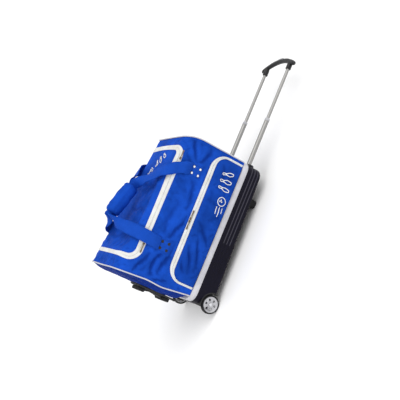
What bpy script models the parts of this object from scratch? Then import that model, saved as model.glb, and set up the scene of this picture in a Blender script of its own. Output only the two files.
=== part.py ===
"""Two-ball roller bowling bag: hard tray, fabric upper, zipped lid and pocket, carry loops,
two-stage trolley handle and two wheels.

The bag lies on its tray: +X points to the trolley handle, +Z up through the lid, -Y to the pocket.
Everything is laid out in the bag's own frame, with X = Y = 0 at the tray's centre and Z = 0 on the
floor. One empty then carries the whole object, so that the origin is under its middle.
Units are metres.
"""
import math

import bmesh
import bpy
from mathutils import Matrix, Vector

# ---------------------------------------------------------------- driving dimensions
GAP = 0.0003                # between pieces that touch
WALL = 0.003                # moulded wall

TRAY_HALF_L = 0.270
TRAY_HALF_W = 0.138
TRAY_CORNER_R = 0.035
TRAY_BOTTOM_WHEEL = 0.023   # underside height at the wheel end
TRAY_BOTTOM_HANDLE = 0.039  # underside height at the handle end
TRAY_RIM_Z = 0.100
GROOVE_LEVELS = (0.048, 0.062, 0.076)
GROOVE_DEPTH = 0.0016
GROOVE_HALF_H = 0.0022

BAND_TOP_Z = 0.1232         # rim band between tray and fabric
BAND_PROUD = 0.0015

BODY_HALF_W = 0.1335        # fabric upper
BODY_BOTTOM_Z = BAND_TOP_Z + GAP
BODY_WALL = 0.003
BODY_TOP_Z = 0.3985         # top of the lid at X = 0
BODY_TOP_SLOPE = -0.1015    # the lid falls towards the handle end
SHOULDER_R = 0.030
PIPING_R = 0.0022
WHEEL_PANEL_X = -0.2846     # the wheel-end panel swells as far as the stand plate
HANDLE_PANEL_OUT = 0.008
HEM_BULGE = 0.25            # an end panel swells a quarter as much at its lower edge
PANEL_RINGS = ((0.030, 0.66), (0.070, 1.0))     # drawn in by, share of the swelling

LID_WHEEL_X = -0.218        # the lid opening's cross cuts and its lower edge
LID_HANDLE_X = 0.217
LID_EDGE_Z = 0.366
LID_CORNER_R = 0.040
LID_HINGE_Y = 0.112
TAPE_W = 0.0155
TAPE_T = 0.0012

POCKET_DEPTH = 0.017
POCKET_BOTTOM_Z = 0.1268
POCKET_TOP_Z = 0.2315
POCKET_HALF_L = 0.239
POCKET_MID_X = 0.0095
POCKET_CORNER_R = 0.048
POCKET_HINGE = Vector((0.0, -0.140, POCKET_BOTTOM_Z))

STRAP_W = 0.046
STRAP_T = 0.003
RIVET_SPACING = (0.012, 0.013)      # half the distance between rivets, along X and Z
RIVET_R = 0.0042
LOOP_HINGE_Y = 0.1395
LOOP_HINGE_Z = 0.307
ANCHOR_Z = 0.287
ANCHOR_HANDLE_X = 0.152
ANCHOR_WHEEL_X = -0.134
GRIP_AXIS = (Vector((-0.0935, 0.0, 0.4683)), Vector((0.025, 0.0, 0.4355)))
GRIP_TALL = 0.0275          # half the padded grip's height and width
GRIP_WIDE = 0.0225
GRIP_END = 0.008            # length and size of the drawn-in ends
GRIP_END_SIZE = 0.72
GRIP_SPLIT = 0.0006         # half the gap between the two halves
GRIP_SLOT_H = 0.0108        # half height and depth of the channel for the strap
GRIP_SLOT_D = 0.0125

TUBE_Y = 0.086              # telescopic handle
TUBE_Z = 0.081
GUIDE_R = 0.0105
GUIDE_X = (-0.012, 0.2695)
STAGE_R = 0.0089
STAGE_X = (0.235, 0.462)
UPPER_R = 0.0064
UPPER_X = (0.430, 0.700)
HANDLE_CREST_X = 0.742
HANDLE_BAR_R = 0.009
HANDLE_END_Y = 0.118
HANDLE_END_X = 0.703
SOCKET_X = 0.684
SOCKET_R = 0.0105
BRACKET_LOW = (-0.006, -0.104, 0.068)           # bracket that holds the guide tubes inside
BRACKET_HIGH = (0.008, 0.104, 0.0945)
BEZEL_LOW = (0.2703, -0.112, 0.0665)            # plate round the tubes where they leave the tray
BEZEL_HIGH = (0.2765, 0.112, 0.0955)
BUTTON_HALF_W = 0.0160
BUTTON_HALF_H = 0.0050
BUTTON_FRONT_X = 0.7455

WHEEL_X = -0.255            # wheels
WHEEL_R = 0.0345
WHEEL_INNER_Y = 0.1190
WHEEL_OUTER_Y = 0.1355
HUB_R = 0.0285
AXLE_R = 0.0037
BEARING_R = 0.0078
HOUSING_R = 0.0430
HOUSING_WELL_R = 0.0385
HOUSING_Y = (0.1040, 0.1375)
HOUSING_MOUTH_Z = 0.026     # the tyre shows below this level
HOUSING_END_X = -0.2735
HUB_WINDOWS = 8

FOOT_X = 0.150              # knob feet under the tray
FOOT_Y = 0.090
FOOT_R = 0.020
FOOT_TOP_Z = 0.0345

STAND_BACK_X = -0.2850      # stand plate on the wheel end
STAND_PLATE_T = 0.0062
STAND_HALF_W = 0.040
STAND_PLATE_Z = (0.1145, 0.287)
STAND_FOOT_TIP_X = -0.305
STAND_FEET_Z = {"upper": (0.249, 0.273), "lower": (0.146, 0.175)}

BALL_R = 0.108
BALL_X = 0.110
BALL_CENTRE_Z = 0.165
CUP_TOP_Z = 0.0745

TUBE_SIDES = 16
WHEEL_SIDES = 28

# ---------------------------------------------------------------- scene and materials
for old in list(bpy.data.objects):
    bpy.data.objects.remove(old, do_unlink=True)

PARTS = bpy.data.collections.new("bowling_ball_bag")
CUTTERS = bpy.data.collections.new("cutters")
bpy.context.scene.collection.children.link(PARTS)
bpy.context.scene.collection.children.link(CUTTERS)

FINISHES = {
    "fabric": ((0.055, 0.155, 0.72), 0.75, 0.0),
    "white_trim": ((0.82, 0.82, 0.84), 0.6, 0.0),
    "tray": ((0.014, 0.013, 0.022), 0.45, 0.0),
    "black_plastic": ((0.012, 0.012, 0.014), 0.4, 0.0),
    "rubber": ((0.018, 0.018, 0.018), 0.8, 0.0),
    "hub": ((0.58, 0.58, 0.60), 0.4, 0.0),
    "aluminium": ((0.80, 0.80, 0.82), 0.3, 1.0),
    "steel": ((0.62, 0.62, 0.64), 0.3, 1.0),
    "bronze": ((0.30, 0.21, 0.13), 0.4, 1.0),
    "foam": ((0.05, 0.05, 0.055), 0.9, 0.0),
}


def empty(name, location=(0, 0, 0), parent=None):
    """A plain empty; moving pieces hang from one that sits on their joint's axis."""
    node = bpy.data.objects.new(name, None)
    node.location = location
    CUTTERS.objects.link(node)
    if parent:
        node.parent = parent
        node.location = Vector(location) - Vector(parent["bag_place"])
    node["bag_place"] = tuple(location)
    return node


BAG = empty("bag")


def finish_material(obj, finish):
    """Give the object a material of its own."""
    color, rough, metal = FINISHES[finish]
    mat = bpy.data.materials.new(obj.name)
    mat.use_nodes = True
    shader = mat.node_tree.nodes["Principled BSDF"]
    shader.inputs["Base Color"].default_value = (*color, 1.0)
    shader.inputs["Roughness"].default_value = rough
    shader.inputs["Metallic"].default_value = metal
    mat.diffuse_color = (*color, 1.0)
    obj.data.materials.clear()
    obj.data.materials.append(mat)


def place(name, bm, finish=None, pivot=None):
    """Make an object from a bmesh laid out in the bag frame; no finish makes it a cutter."""
    bmesh.ops.recalc_face_normals(bm, faces=bm.faces)
    mesh = bpy.data.meshes.new(name)
    bm.to_mesh(mesh)
    bm.free()
    obj = bpy.data.objects.new(name, mesh)
    anchor = pivot or BAG
    obj.parent = anchor
    obj.location = -Vector(anchor["bag_place"])
    if finish:
        PARTS.objects.link(obj)
        finish_material(obj, finish)
        mesh.shade_smooth()
        mesh.set_sharp_from_angle(angle=math.radians(35))
    else:
        CUTTERS.objects.link(obj)
        obj.hide_render = True
        obj.display_type = "WIRE"
    return obj


def boolean(obj, operation, cutter):
    """Cut, join or intersect; each one stays as a modifier."""
    mod = obj.modifiers.new(operation.lower(), "BOOLEAN")
    mod.operation = operation
    mod.solver = "EXACT"
    mod.object = cutter
    return obj


# ---------------------------------------------------------------- shapes
def box(bm, low, high):
    """A box between two corners."""
    low, high = Vector(low), Vector(high)
    size = Matrix.Diagonal((*(high - low), 1.0))
    return bmesh.ops.create_cube(bm, size=1.0, matrix=Matrix.Translation((low + high) / 2) @ size)


def bevel_all(bm, width, segments=1):
    """Round every edge sharper than 40 degrees."""
    edges = [e for e in bm.edges if e.is_manifold and e.calc_face_angle() > math.radians(40)]
    bmesh.ops.bevel(bm, geom=edges, offset=width, segments=segments, affect="EDGES", profile=0.5)


def cylinder(bm, start, end, radius, sides=TUBE_SIDES, end_radius=None):
    """A cylinder or cone from one point to another."""
    start, end = Vector(start), Vector(end)
    along = end - start
    turn = Vector((0, 0, 1)).rotation_difference(along).to_matrix().to_4x4()
    half_side = Matrix.Rotation(math.pi / sides, 4, "Z")
    bmesh.ops.create_cone(
        bm, cap_ends=True, segments=sides, radius1=radius,
        radius2=radius if end_radius is None else end_radius, depth=along.length,
        matrix=Matrix.Translation((start + end) / 2) @ turn @ half_side)


def loft(bm, rings, capped=True):
    """Skin a list of equally long closed rings, and close both ends."""
    rows = [[bm.verts.new(p) for p in ring] for ring in rings]
    count = len(rows[0])
    for low, high in zip(rows, rows[1:]):
        for i in range(count):
            j = (i + 1) % count
            bm.faces.new((low[i], low[j], high[j], high[i]))
    if capped:
        bm.faces.new(rows[0][::-1])
        bm.faces.new(rows[-1])


def rounded_corners(points, radii, steps=5, closed=True):
    """Replace each corner of an outline by an arc of its radius; zero leaves it sharp."""
    out = []
    count = len(points)
    for i, (point, radius) in enumerate(zip(points, radii)):
        point = Vector(point)
        if radius == 0 or (not closed and i in (0, count - 1)):
            out.append(point)
            continue
        back = (Vector(points[i - 1]) - point).normalized()
        ahead = (Vector(points[(i + 1) % count]) - point).normalized()
        half = back.angle(ahead) / 2
        centre = point + (back + ahead).normalized() * (radius / math.sin(half))
        first = point + back * (radius / math.tan(half)) - centre
        last = point + ahead * (radius / math.tan(half)) - centre
        out += [centre + first.slerp(last, k / steps).normalized() * radius for k in range(steps + 1)]
    return out


def rectangle_ring(half_x, half_y, radius, height):
    """A rounded rectangle; height is a number or a function of X."""
    corners = [(half_x, half_y), (-half_x, half_y), (-half_x, -half_y), (half_x, -half_y)]
    flat = rounded_corners(corners, [radius] * 4, steps=4)
    level = height if callable(height) else (lambda x: height)
    return [Vector((p.x, p.y, level(p.x))) for p in flat]


def pipe(name, start, end, radius, bore, finish, pivot=None, sides=TUBE_SIDES):
    """A straight tube with an open bore."""
    bm = bmesh.new()
    cylinder(bm, start, end, radius, sides)
    obj = place(name, bm, finish, pivot)
    over = (Vector(end) - Vector(start)).normalized() * 0.005
    bm = bmesh.new()
    cylinder(bm, Vector(start) - over, Vector(end) + over, bore, sides)
    return boolean(obj, "DIFFERENCE", place(name + "_bore", bm))


def mirrored(point, side):
    """The same point on the near (-1) or far (+1) side."""
    return Vector((point[0], point[1] * side, point[2]))


SIDES = (("near", -1), ("far", 1))


# ---------------------------------------------------------------- tray and what is under it
def tray_bottom(x):
    """Height of the tray's underside, a wedge that rises towards the handle."""
    share = (x + TRAY_HALF_L) / (2 * TRAY_HALF_L)
    return TRAY_BOTTOM_WHEEL + (TRAY_BOTTOM_HANDLE - TRAY_BOTTOM_WHEEL) * share


def tray_ring(inset, lift=None, level=None):
    """A ring of the tray's outside, at a level or at a lift above the underside."""
    height = level if level is not None else (lambda x: tray_bottom(x) + lift)
    radius = max(TRAY_CORNER_R - inset, 0.004)
    return rectangle_ring(TRAY_HALF_L - inset, TRAY_HALF_W - inset, radius, height)


def base_tray():
    """Open-topped moulded tray with three long grooves round it."""
    bm = bmesh.new()
    rings = [tray_ring(0.012, lift=0.0), tray_ring(0.004, lift=0.0025)]
    for level in GROOVE_LEVELS:
        rings.append(tray_ring(0.0, level=level - GROOVE_HALF_H))
        rings.append(tray_ring(GROOVE_DEPTH, level=level))
        rings.append(tray_ring(0.0, level=level + GROOVE_HALF_H))
    rings.append(tray_ring(0.0, level=TRAY_RIM_Z))
    loft(bm, rings)
    top = max(bm.faces, key=lambda f: f.calc_center_median().z)
    bmesh.ops.delete(bm, geom=[top], context="FACES_ONLY")
    tray = place("base_tray", bm, "tray")
    thick = tray.modifiers.new("wall", "SOLIDIFY")
    thick.thickness = WALL
    thick.offset = -1.0
    thick.use_even_offset = True
    for side_name, side in SIDES:
        bm = bmesh.new()
        cylinder(bm, (0.2, side * TUBE_Y, TUBE_Z), (0.3, side * TUBE_Y, TUBE_Z), GUIDE_R + GAP)
        boolean(tray, "DIFFERENCE", place("tray_tube_hole_" + side_name, bm))
        bm = bmesh.new()
        inner = Vector((WHEEL_X, side * (HOUSING_Y[0] - 0.0005), WHEEL_R))
        outer = Vector((WHEEL_X, side * (TRAY_HALF_W + 0.012), WHEEL_R))
        cylinder(bm, inner, outer, HOUSING_R + 0.0005, WHEEL_SIDES)
        boolean(tray, "DIFFERENCE", place("tray_wheel_well_" + side_name, bm))
    return tray


def ball_cup(name, x):
    """Round seat that holds one ball clear of the guide tubes."""
    outer_r = 0.069
    tilt = math.atan2(TRAY_BOTTOM_HANDLE - TRAY_BOTTOM_WHEEL, 2 * TRAY_HALF_L)
    seat = Vector((x, 0, tray_bottom(x) + WALL + 3 * GAP))
    up = Vector((-math.sin(tilt), 0, math.cos(tilt)))
    height = CUP_TOP_Z - seat.z
    bm = bmesh.new()
    cylinder(bm, seat, seat + up * height, outer_r, 24, outer_r - 0.004)
    cup = place(name, bm, "foam")
    bm = bmesh.new()
    bmesh.ops.create_uvsphere(bm, u_segments=24, v_segments=14, radius=BALL_R + 0.0008,
                              matrix=Matrix.Translation((x, 0, BALL_CENTRE_Z)))
    boolean(cup, "DIFFERENCE", place(name + "_seat", bm))
    bm = bmesh.new()
    cylinder(bm, seat - up * 0.02, seat + up * 0.06, 0.030, 24)
    boolean(cup, "DIFFERENCE", place(name + "_hole", bm))


def rim_band():
    """Welt that joins the fabric to the tray, a frame with straight walls."""
    grow = BAND_PROUD
    bm = bmesh.new()
    outer = [rectangle_ring(TRAY_HALF_L + grow, TRAY_HALF_W + grow, TRAY_CORNER_R, z)
             for z in (TRAY_RIM_Z + GAP, BAND_TOP_Z)]
    loft(bm, outer)
    band = place("rim_band", bm, "white_trim")
    bm = bmesh.new()
    inset = 0.012
    inner = [rectangle_ring(TRAY_HALF_L - inset, TRAY_HALF_W - inset, TRAY_CORNER_R - inset, z)
             for z in (0.09, 0.13)]
    loft(bm, inner)
    boolean(band, "DIFFERENCE", place("rim_band_inside", bm))


def base_feet():
    """Knob feet under the handle end of the tray."""
    for side_name, side in SIDES:
        bm = bmesh.new()
        y = side * FOOT_Y
        cylinder(bm, (FOOT_X, y, 0.0), (FOOT_X, y, FOOT_TOP_Z), FOOT_R - 0.003, 20, FOOT_R)
        bevel_all(bm, 0.0015)
        place("base_foot_" + side_name, bm, "rubber")


def stand():
    """Plate on the wheel end with two feet, which the bag stands on when upright."""
    bm = bmesh.new()
    front = STAND_BACK_X - STAND_PLATE_T
    low_z, high_z = STAND_PLATE_Z
    box(bm, (front, -STAND_HALF_W, low_z), (STAND_BACK_X, STAND_HALF_W, high_z))
    bevel_all(bm, 0.0012)
    place("stand_plate", bm, "black_plastic")
    half = STAND_HALF_W - 0.004
    for name, (low_z, high_z) in STAND_FEET_Z.items():
        bm = bmesh.new()
        box(bm, (STAND_FOOT_TIP_X, -half, low_z), (front - GAP, half, high_z))
        bevel_all(bm, 0.003, 2)
        place("stand_foot_" + name, bm, "rubber")


# ---------------------------------------------------------------- wheels
def wheel(side_name, side):
    """Housing, axle pin, bearing, hub and tyre of one wheel."""
    centre = Vector((WHEEL_X, 0, WHEEL_R))

    def at(y):
        return centre + Vector((0, side * y, 0))

    bm = bmesh.new()
    cylinder(bm, at(HOUSING_Y[0]), at(HOUSING_Y[1]), HOUSING_R, WHEEL_SIDES)
    housing = place("wheel_housing_" + side_name, bm, "black_plastic")
    bm = bmesh.new()
    cylinder(bm, at(HOUSING_Y[0] + 0.0035), at(0.1500), HOUSING_WELL_R, WHEEL_SIDES)
    boolean(housing, "DIFFERENCE", place("housing_well_" + side_name, bm))
    bm = bmesh.new()
    box(bm, centre + Vector((-0.05, side * 0.12 - 0.05, -0.06)),
        Vector((WHEEL_X + 0.05, side * 0.12 + 0.05, HOUSING_MOUTH_Z)))
    boolean(housing, "DIFFERENCE", place("housing_mouth_" + side_name, bm))
    bm = bmesh.new()
    box(bm, (-0.32, side * 0.12 - 0.05, 0.0), (HOUSING_END_X, side * 0.12 + 0.05, 0.1))
    boolean(housing, "DIFFERENCE", place("housing_end_" + side_name, bm))
    bm = bmesh.new()
    cylinder(bm, at(0.09), at(0.12), AXLE_R + GAP)
    boolean(housing, "DIFFERENCE", place("housing_axle_hole_" + side_name, bm))

    bm = bmesh.new()
    rings = []
    for y, radius in ((0.1030, AXLE_R), (0.1366, AXLE_R), (0.1366, 0.0062), (0.1380, 0.0058)):
        rings.append([at(y) + Vector((radius * math.cos(a), 0, radius * math.sin(a)))
                      for a in (math.tau * k / TUBE_SIDES for k in range(TUBE_SIDES))])
    loft(bm, rings)
    place("axle_" + side_name, bm, "steel")

    spin = empty("wheel_pivot_" + side_name, at(0.124), BAG)
    pipe("bearing_" + side_name, at(WHEEL_INNER_Y + 0.001), at(WHEEL_OUTER_Y - 0.0005), BEARING_R,
         AXLE_R + 0.0003, "steel", spin)
    hub = pipe("hub_" + side_name, at(WHEEL_INNER_Y + 0.002), at(WHEEL_OUTER_Y), HUB_R,
               BEARING_R + GAP, "hub", spin, WHEEL_SIDES)
    windows = bmesh.new()
    for k in range(HUB_WINDOWS):
        turn = Matrix.Rotation(math.tau * k / HUB_WINDOWS, 3, "Y")
        place_at = turn @ Vector((0.0185, 0, 0))
        cylinder(windows, at(0.10) + place_at, at(0.15) + place_at, 0.0052, 10)
    boolean(hub, "DIFFERENCE", place("hub_windows_" + side_name, windows))
    tyre_rings = []
    profile = ((HUB_R + GAP, WHEEL_INNER_Y), (WHEEL_R - 0.002, WHEEL_INNER_Y),
               (WHEEL_R, WHEEL_INNER_Y + 0.003), (WHEEL_R, WHEEL_OUTER_Y - 0.003),
               (WHEEL_R - 0.002, WHEEL_OUTER_Y), (HUB_R + GAP, WHEEL_OUTER_Y))
    bm = bmesh.new()
    for k in range(WHEEL_SIDES):
        angle = math.tau * (k + 0.5) / WHEEL_SIDES
        tyre_rings.append([at(y) + Vector((r * math.cos(angle), 0, r * math.sin(angle)))
                           for r, y in profile])
    tyre_rings.append(tyre_rings[0])
    loft(bm, tyre_rings, capped=False)
    bmesh.ops.remove_doubles(bm, verts=bm.verts, dist=0.00001)
    place("tyre_" + side_name, bm, "rubber", spin)


# ---------------------------------------------------------------- telescopic handle
def handle():
    """Guide tubes in the tray, two sliding stages, the grip and its release button."""
    lower = empty("handle_lower_pivot", (STAGE_X[0], 0, TUBE_Z), BAG)
    upper = empty("handle_upper_pivot", (UPPER_X[0], 0, TUBE_Z), lower)
    press = empty("release_button_pivot", (HANDLE_CREST_X, 0, TUBE_Z), upper)

    for side_name, side in SIDES:
        y = side * TUBE_Y

        def on_axis(x):
            return Vector((x, y, TUBE_Z))

        pipe("guide_tube_" + side_name, on_axis(GUIDE_X[0]), on_axis(GUIDE_X[1]), GUIDE_R,
             STAGE_R + 2 * GAP, "aluminium")
        pipe("stage_tube_" + side_name, on_axis(STAGE_X[0]), on_axis(STAGE_X[1]), STAGE_R,
             UPPER_R + 2 * GAP, "aluminium", lower)
        pipe("stage_collar_" + side_name, on_axis(STAGE_X[1] + GAP), on_axis(STAGE_X[1] + 0.011),
             0.0098, UPPER_R + GAP, "black_plastic", lower)
        pipe("upper_tube_" + side_name, on_axis(UPPER_X[0]), on_axis(UPPER_X[1]), UPPER_R,
             0.0048, "aluminium", upper)
        bm = bmesh.new()
        cylinder(bm, on_axis(UPPER_X[0] + 0.006), on_axis(UPPER_X[1] - 0.002), 0.0030, 8)
        place("push_rod_" + side_name, bm, "steel", press)

    bm = bmesh.new()
    box(bm, BRACKET_LOW, BRACKET_HIGH)
    bracket = place("guide_bracket", bm, "black_plastic")
    bm = bmesh.new()
    box(bm, BEZEL_LOW, BEZEL_HIGH)
    bevel_all(bm, 0.0015)
    bezel = place("handle_bezel", bm, "black_plastic")
    for side_name, side in SIDES:
        start, end = Vector((-0.05, side * TUBE_Y, TUBE_Z)), Vector((0.05, side * TUBE_Y, TUBE_Z))
        bm = bmesh.new()
        cylinder(bm, start, end, GUIDE_R + GAP)
        boolean(bracket, "DIFFERENCE", place("bracket_hole_" + side_name, bm))
        bm = bmesh.new()
        shift = Vector((0.27, 0, 0))
        cylinder(bm, start + shift, end + shift, STAGE_R + GAP)
        boolean(bezel, "DIFFERENCE", place("bezel_hole_" + side_name, bm))

    bar = bmesh.new()
    rings = []
    steps = 12
    for k in range(steps + 1):
        share = 2 * k / steps - 1
        y = HANDLE_END_Y * share
        rise = HANDLE_CREST_X - HANDLE_BAR_R - HANDLE_END_X
        x = HANDLE_END_X + rise * (1 - share * share)
        radius = HANDLE_BAR_R if abs(share) < 0.99 else HANDLE_BAR_R * 0.6
        rings.append([Vector((x + radius * math.cos(a), y, TUBE_Z + radius * math.sin(a)))
                      for a in (math.tau * i / 12 for i in range(12))])
    loft(bar, rings)
    grip = place("handle_grip", bar, "black_plastic", upper)
    for side_name, side in SIDES:
        bm = bmesh.new()
        y = side * TUBE_Y
        cylinder(bm, (SOCKET_X, y, TUBE_Z), (HANDLE_END_X + 0.0095, y, TUBE_Z), SOCKET_R)
        boolean(grip, "UNION", place("grip_socket_" + side_name, bm))
    for side_name, side in SIDES:
        bm = bmesh.new()
        y = side * TUBE_Y
        cylinder(bm, (SOCKET_X - 0.01, y, TUBE_Z), (UPPER_X[1] + GAP, y, TUBE_Z), UPPER_R + GAP)
        boolean(grip, "DIFFERENCE", place("grip_bore_" + side_name, bm))
    bm = bmesh.new()
    half_w, half_h = BUTTON_HALF_W + GAP, BUTTON_HALF_H + GAP
    box(bm, (HANDLE_CREST_X - 0.0125, -half_w, TUBE_Z - half_h), (0.76, half_w, TUBE_Z + half_h))
    boolean(grip, "DIFFERENCE", place("button_slot", bm))
    bm = bmesh.new()
    box(bm, (HANDLE_CREST_X - 0.0065, -BUTTON_HALF_W, TUBE_Z - BUTTON_HALF_H),
        (BUTTON_FRONT_X, BUTTON_HALF_W, TUBE_Z + BUTTON_HALF_H))
    bevel_all(bm, 0.001)
    place("release_button", bm, "hub", press)


# ---------------------------------------------------------------- fabric upper
def wheel_end_x(z):
    """The wheel end's edge leans outward as it rises."""
    return -0.2585 - 0.060 * (z - BODY_BOTTOM_Z)


def handle_end_x(z):
    """The handle end's edge is upright, and draws in near the lid."""
    draw_in = max(0.0, (z - 0.300) / 0.075)
    return 0.2650 - 0.018 * draw_in * draw_in


def top_z(x):
    """Height of the lid's crown line."""
    return BODY_TOP_Z + BODY_TOP_SLOPE * x


def upper_section(share, inset, floor_z):
    """One cross-section of the upper; share runs from the wheel end (0) to the handle end (1)."""
    half_w = BODY_HALF_W - inset
    x_mid = wheel_end_x(0.4) * (1 - share) + handle_end_x(0.36) * share
    top = top_z(x_mid) - inset
    corners = [(half_w, floor_z), (half_w, top), (-half_w, top), (-half_w, floor_z)]
    flat = rounded_corners(corners, [0, SHOULDER_R, SHOULDER_R, 0], steps=5)
    low, high = wheel_end_x, handle_end_x
    return [Vector((low(p.y) * (1 - share) + high(p.y) * share, p.x, p.y)) for p in flat]


def drawn_in(ring, amount):
    """A ring drawn in from its sides and top, with its lower edge kept at its level."""
    mid_z = (BODY_BOTTOM_Z + top_z(ring[0].x)) / 2
    share = amount / BODY_HALF_W
    new = []
    for p in ring:
        level = p.z if p.z <= BODY_BOTTOM_Z + 0.001 else p.z - share * (p.z - mid_z)
        new.append(Vector((p.x, p.y * (1 - share), level)))
    return new


def upper_solid(bm, inset, floor_z=BODY_BOTTOM_Z):
    """The upper as a solid, drawn in by inset."""
    stations = [k / 8 for k in range(9)]
    rings = [upper_section(s, inset, floor_z) for s in stations]
    first, last = rings[0], rings[-1]
    for ring, sign in ((first, 1), (last, -1)):
        for p in ring:
            p.x += sign * inset
    for amount, share in PANEL_RINGS:
        for ring, plane_x in ((first, WHEEL_PANEL_X + inset), (last, None)):
            bulge = drawn_in(ring, amount)
            for p in bulge:
                out = HANDLE_PANEL_OUT if plane_x is None else plane_x - p.x
                p.x += out * share * (HEM_BULGE if p.z <= BODY_BOTTOM_Z + 0.001 else 1.0)
            rings.insert(0 if ring is first else len(rings), bulge)
    loft(bm, rings)


def lid_cutter(name, grow, bottom_grow=None, hinge_grow=0.0):
    """The lid opening as a solid block with rounded lower corners."""
    bottom = LID_EDGE_Z - (grow if bottom_grow is None else bottom_grow)
    low, high = LID_WHEEL_X - grow, LID_HANDLE_X + grow
    radius = max(LID_CORNER_R + grow, 0.01)
    corners = [(low, 0.6), (low, bottom), (high, bottom), (high, 0.6)]
    flat = rounded_corners(corners, [0, radius, radius, 0], steps=6)
    bm = bmesh.new()
    loft(bm, [[Vector((p.x, y, p.y)) for p in flat] for y in (-0.3, LID_HINGE_Y + hinge_grow)])
    return place(name, bm)


def fabric_upper():
    """Body, lid and the two halves of the lid's zip tape."""
    bm = bmesh.new()
    upper_solid(bm, 0.0)
    body = place("bag_body", bm, "fabric")
    bm = bmesh.new()
    upper_solid(bm, BODY_WALL, BODY_BOTTOM_Z - 0.02)
    hollow = place("upper_hollow", bm)
    boolean(body, "DIFFERENCE", hollow)
    boolean(body, "DIFFERENCE", lid_cutter("lid_opening", 0.0))

    hinge = empty("lid_pivot", (0, LID_HINGE_Y, top_z(0)), BAG)
    bm = bmesh.new()
    upper_solid(bm, 0.0)
    lid = place("lid_panel", bm, "fabric", hinge)
    boolean(lid, "DIFFERENCE", hollow)
    boolean(lid, "INTERSECT", lid_cutter("lid_outline", -2 * GAP, hinge_grow=-2 * GAP))

    bm = bmesh.new()
    upper_solid(bm, -GAP, BODY_BOTTOM_Z - 0.02)
    skin_inside = place("tape_inside", bm)
    tapes = (("lid_tape_body_side", None, TAPE_W, 0.0), ("lid_tape_lid_side", hinge, -2 * GAP, -TAPE_W))
    for name, pivot, outer, inner in tapes:
        bm = bmesh.new()
        upper_solid(bm, -GAP - TAPE_T)
        tape = place(name, bm, "white_trim", pivot)
        boolean(tape, "DIFFERENCE", skin_inside)
        boolean(tape, "INTERSECT", lid_cutter(name + "_outline", outer, hinge_grow=-3 * GAP))
        boolean(tape, "DIFFERENCE", lid_cutter(name + "_middle", inner, hinge_grow=0.05))


def piping(name, share):
    """Thin welt cord round the edge of an end panel, open at the bottom."""
    points = upper_section(share, -PIPING_R - 2 * GAP, BODY_BOTTOM_Z + PIPING_R)
    curve = bpy.data.curves.new(name, "CURVE")
    curve.dimensions = "3D"
    curve.bevel_depth = PIPING_R
    curve.bevel_resolution = 2
    curve.use_fill_caps = True
    spline = curve.splines.new("POLY")
    spline.points.add(len(points) - 1)
    for knot, p in zip(spline.points, points):
        knot.co = (*p, 1.0)
    obj = bpy.data.objects.new(name, curve)
    obj.parent = BAG
    PARTS.objects.link(obj)
    finish_material(obj, "white_trim")


# ---------------------------------------------------------------- pocket
def pocket_outline(offset):
    """The pocket's edge in X and Z, moved outward by offset; it starts and ends at the hem."""
    low_x, high_x = POCKET_MID_X - POCKET_HALF_L - offset, POCKET_MID_X + POCKET_HALF_L + offset
    top = POCKET_TOP_Z + offset
    tops = [(high_x, top + 0.003), (low_x, top - 0.004)]
    corners = [(high_x, POCKET_BOTTOM_Z), *tops, (low_x, POCKET_BOTTOM_Z)]
    radius = POCKET_CORNER_R + offset
    return rounded_corners(corners, [0, radius, radius, 0], steps=6, closed=False)


def pocket_layer(bm, offset, y_back, y_front):
    """A plate of the pocket's outline between two Y values."""
    loft(bm, [[Vector((p.x, y, p.y)) for p in pocket_outline(offset)] for y in (y_back, y_front)])


def pocket():
    """Gusseted pocket panel that folds out at its hem, and the two halves of its zip tape."""
    swing = empty("pocket_pivot", POCKET_HINGE, BAG)
    back = -BODY_HALF_W - 2 * GAP
    front = back - POCKET_DEPTH
    bm = bmesh.new()
    rings = []
    for offset, y in ((-0.010, back), (-0.010, front + 0.006), (-0.016, front)):
        rings.append([Vector((p.x, y, p.y)) for p in pocket_outline(offset)])
    loft(bm, rings)
    panel = place("pocket_panel", bm, "fabric", swing)
    bm = bmesh.new()
    rings = []
    hem = POCKET_BOTTOM_Z + WALL
    for offset, y in ((-0.013, back + 0.01), (-0.013, front + 0.0065), (-0.0185, front + 0.003)):
        rings.append([Vector((p.x, y, max(p.y, hem))) for p in pocket_outline(offset)])
    loft(bm, rings)
    boolean(panel, "DIFFERENCE", place("pocket_inside", bm))

    halves = (("pocket_tape_body_side", None, 0.0095, GAP), ("pocket_tape_flap_side", swing, -GAP, -0.0097))
    for name, pivot, outer, inner_edge in halves:
        bm = bmesh.new()
        pocket_layer(bm, outer, back, back - TAPE_T)
        tape = place(name, bm, "white_trim", pivot)
        bm = bmesh.new()
        hem = POCKET_BOTTOM_Z + 0.001
        edge = [(p.x, p.y if p.y > hem else 0.1) for p in pocket_outline(inner_edge)]
        loft(bm, [[Vector((x, y, z)) for x, z in edge] for y in (back + 0.01, back - 0.01)])
        boolean(tape, "DIFFERENCE", place(name + "_middle", bm))


def slider(name, x, z, y_face, toward):
    """Zip slider on the body-side tape; its puller points along +X or -X and turns about its bail."""
    slide = empty(name + "_slider_pivot", (x, y_face, z), BAG)
    bm = bmesh.new()
    box(bm, (x - 0.0045, y_face - 0.0030, z - 0.0038), (x + 0.0045, y_face, z + 0.0038))
    bevel_all(bm, 0.0006)
    place(name + "_slider", bm, "bronze", slide)
    turn = empty(name + "_puller_pivot", (x + toward * 0.0062, y_face - 0.0020, z), slide)
    bm = bmesh.new()
    ends = sorted((x + toward * 0.0050, x + toward * 0.0310))
    box(bm, (ends[0], y_face - 0.0032, z - 0.0026), (ends[1], y_face - 0.0008, z + 0.0026))
    bevel_all(bm, 0.0006)
    place(name + "_puller", bm, "bronze", turn)


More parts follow.
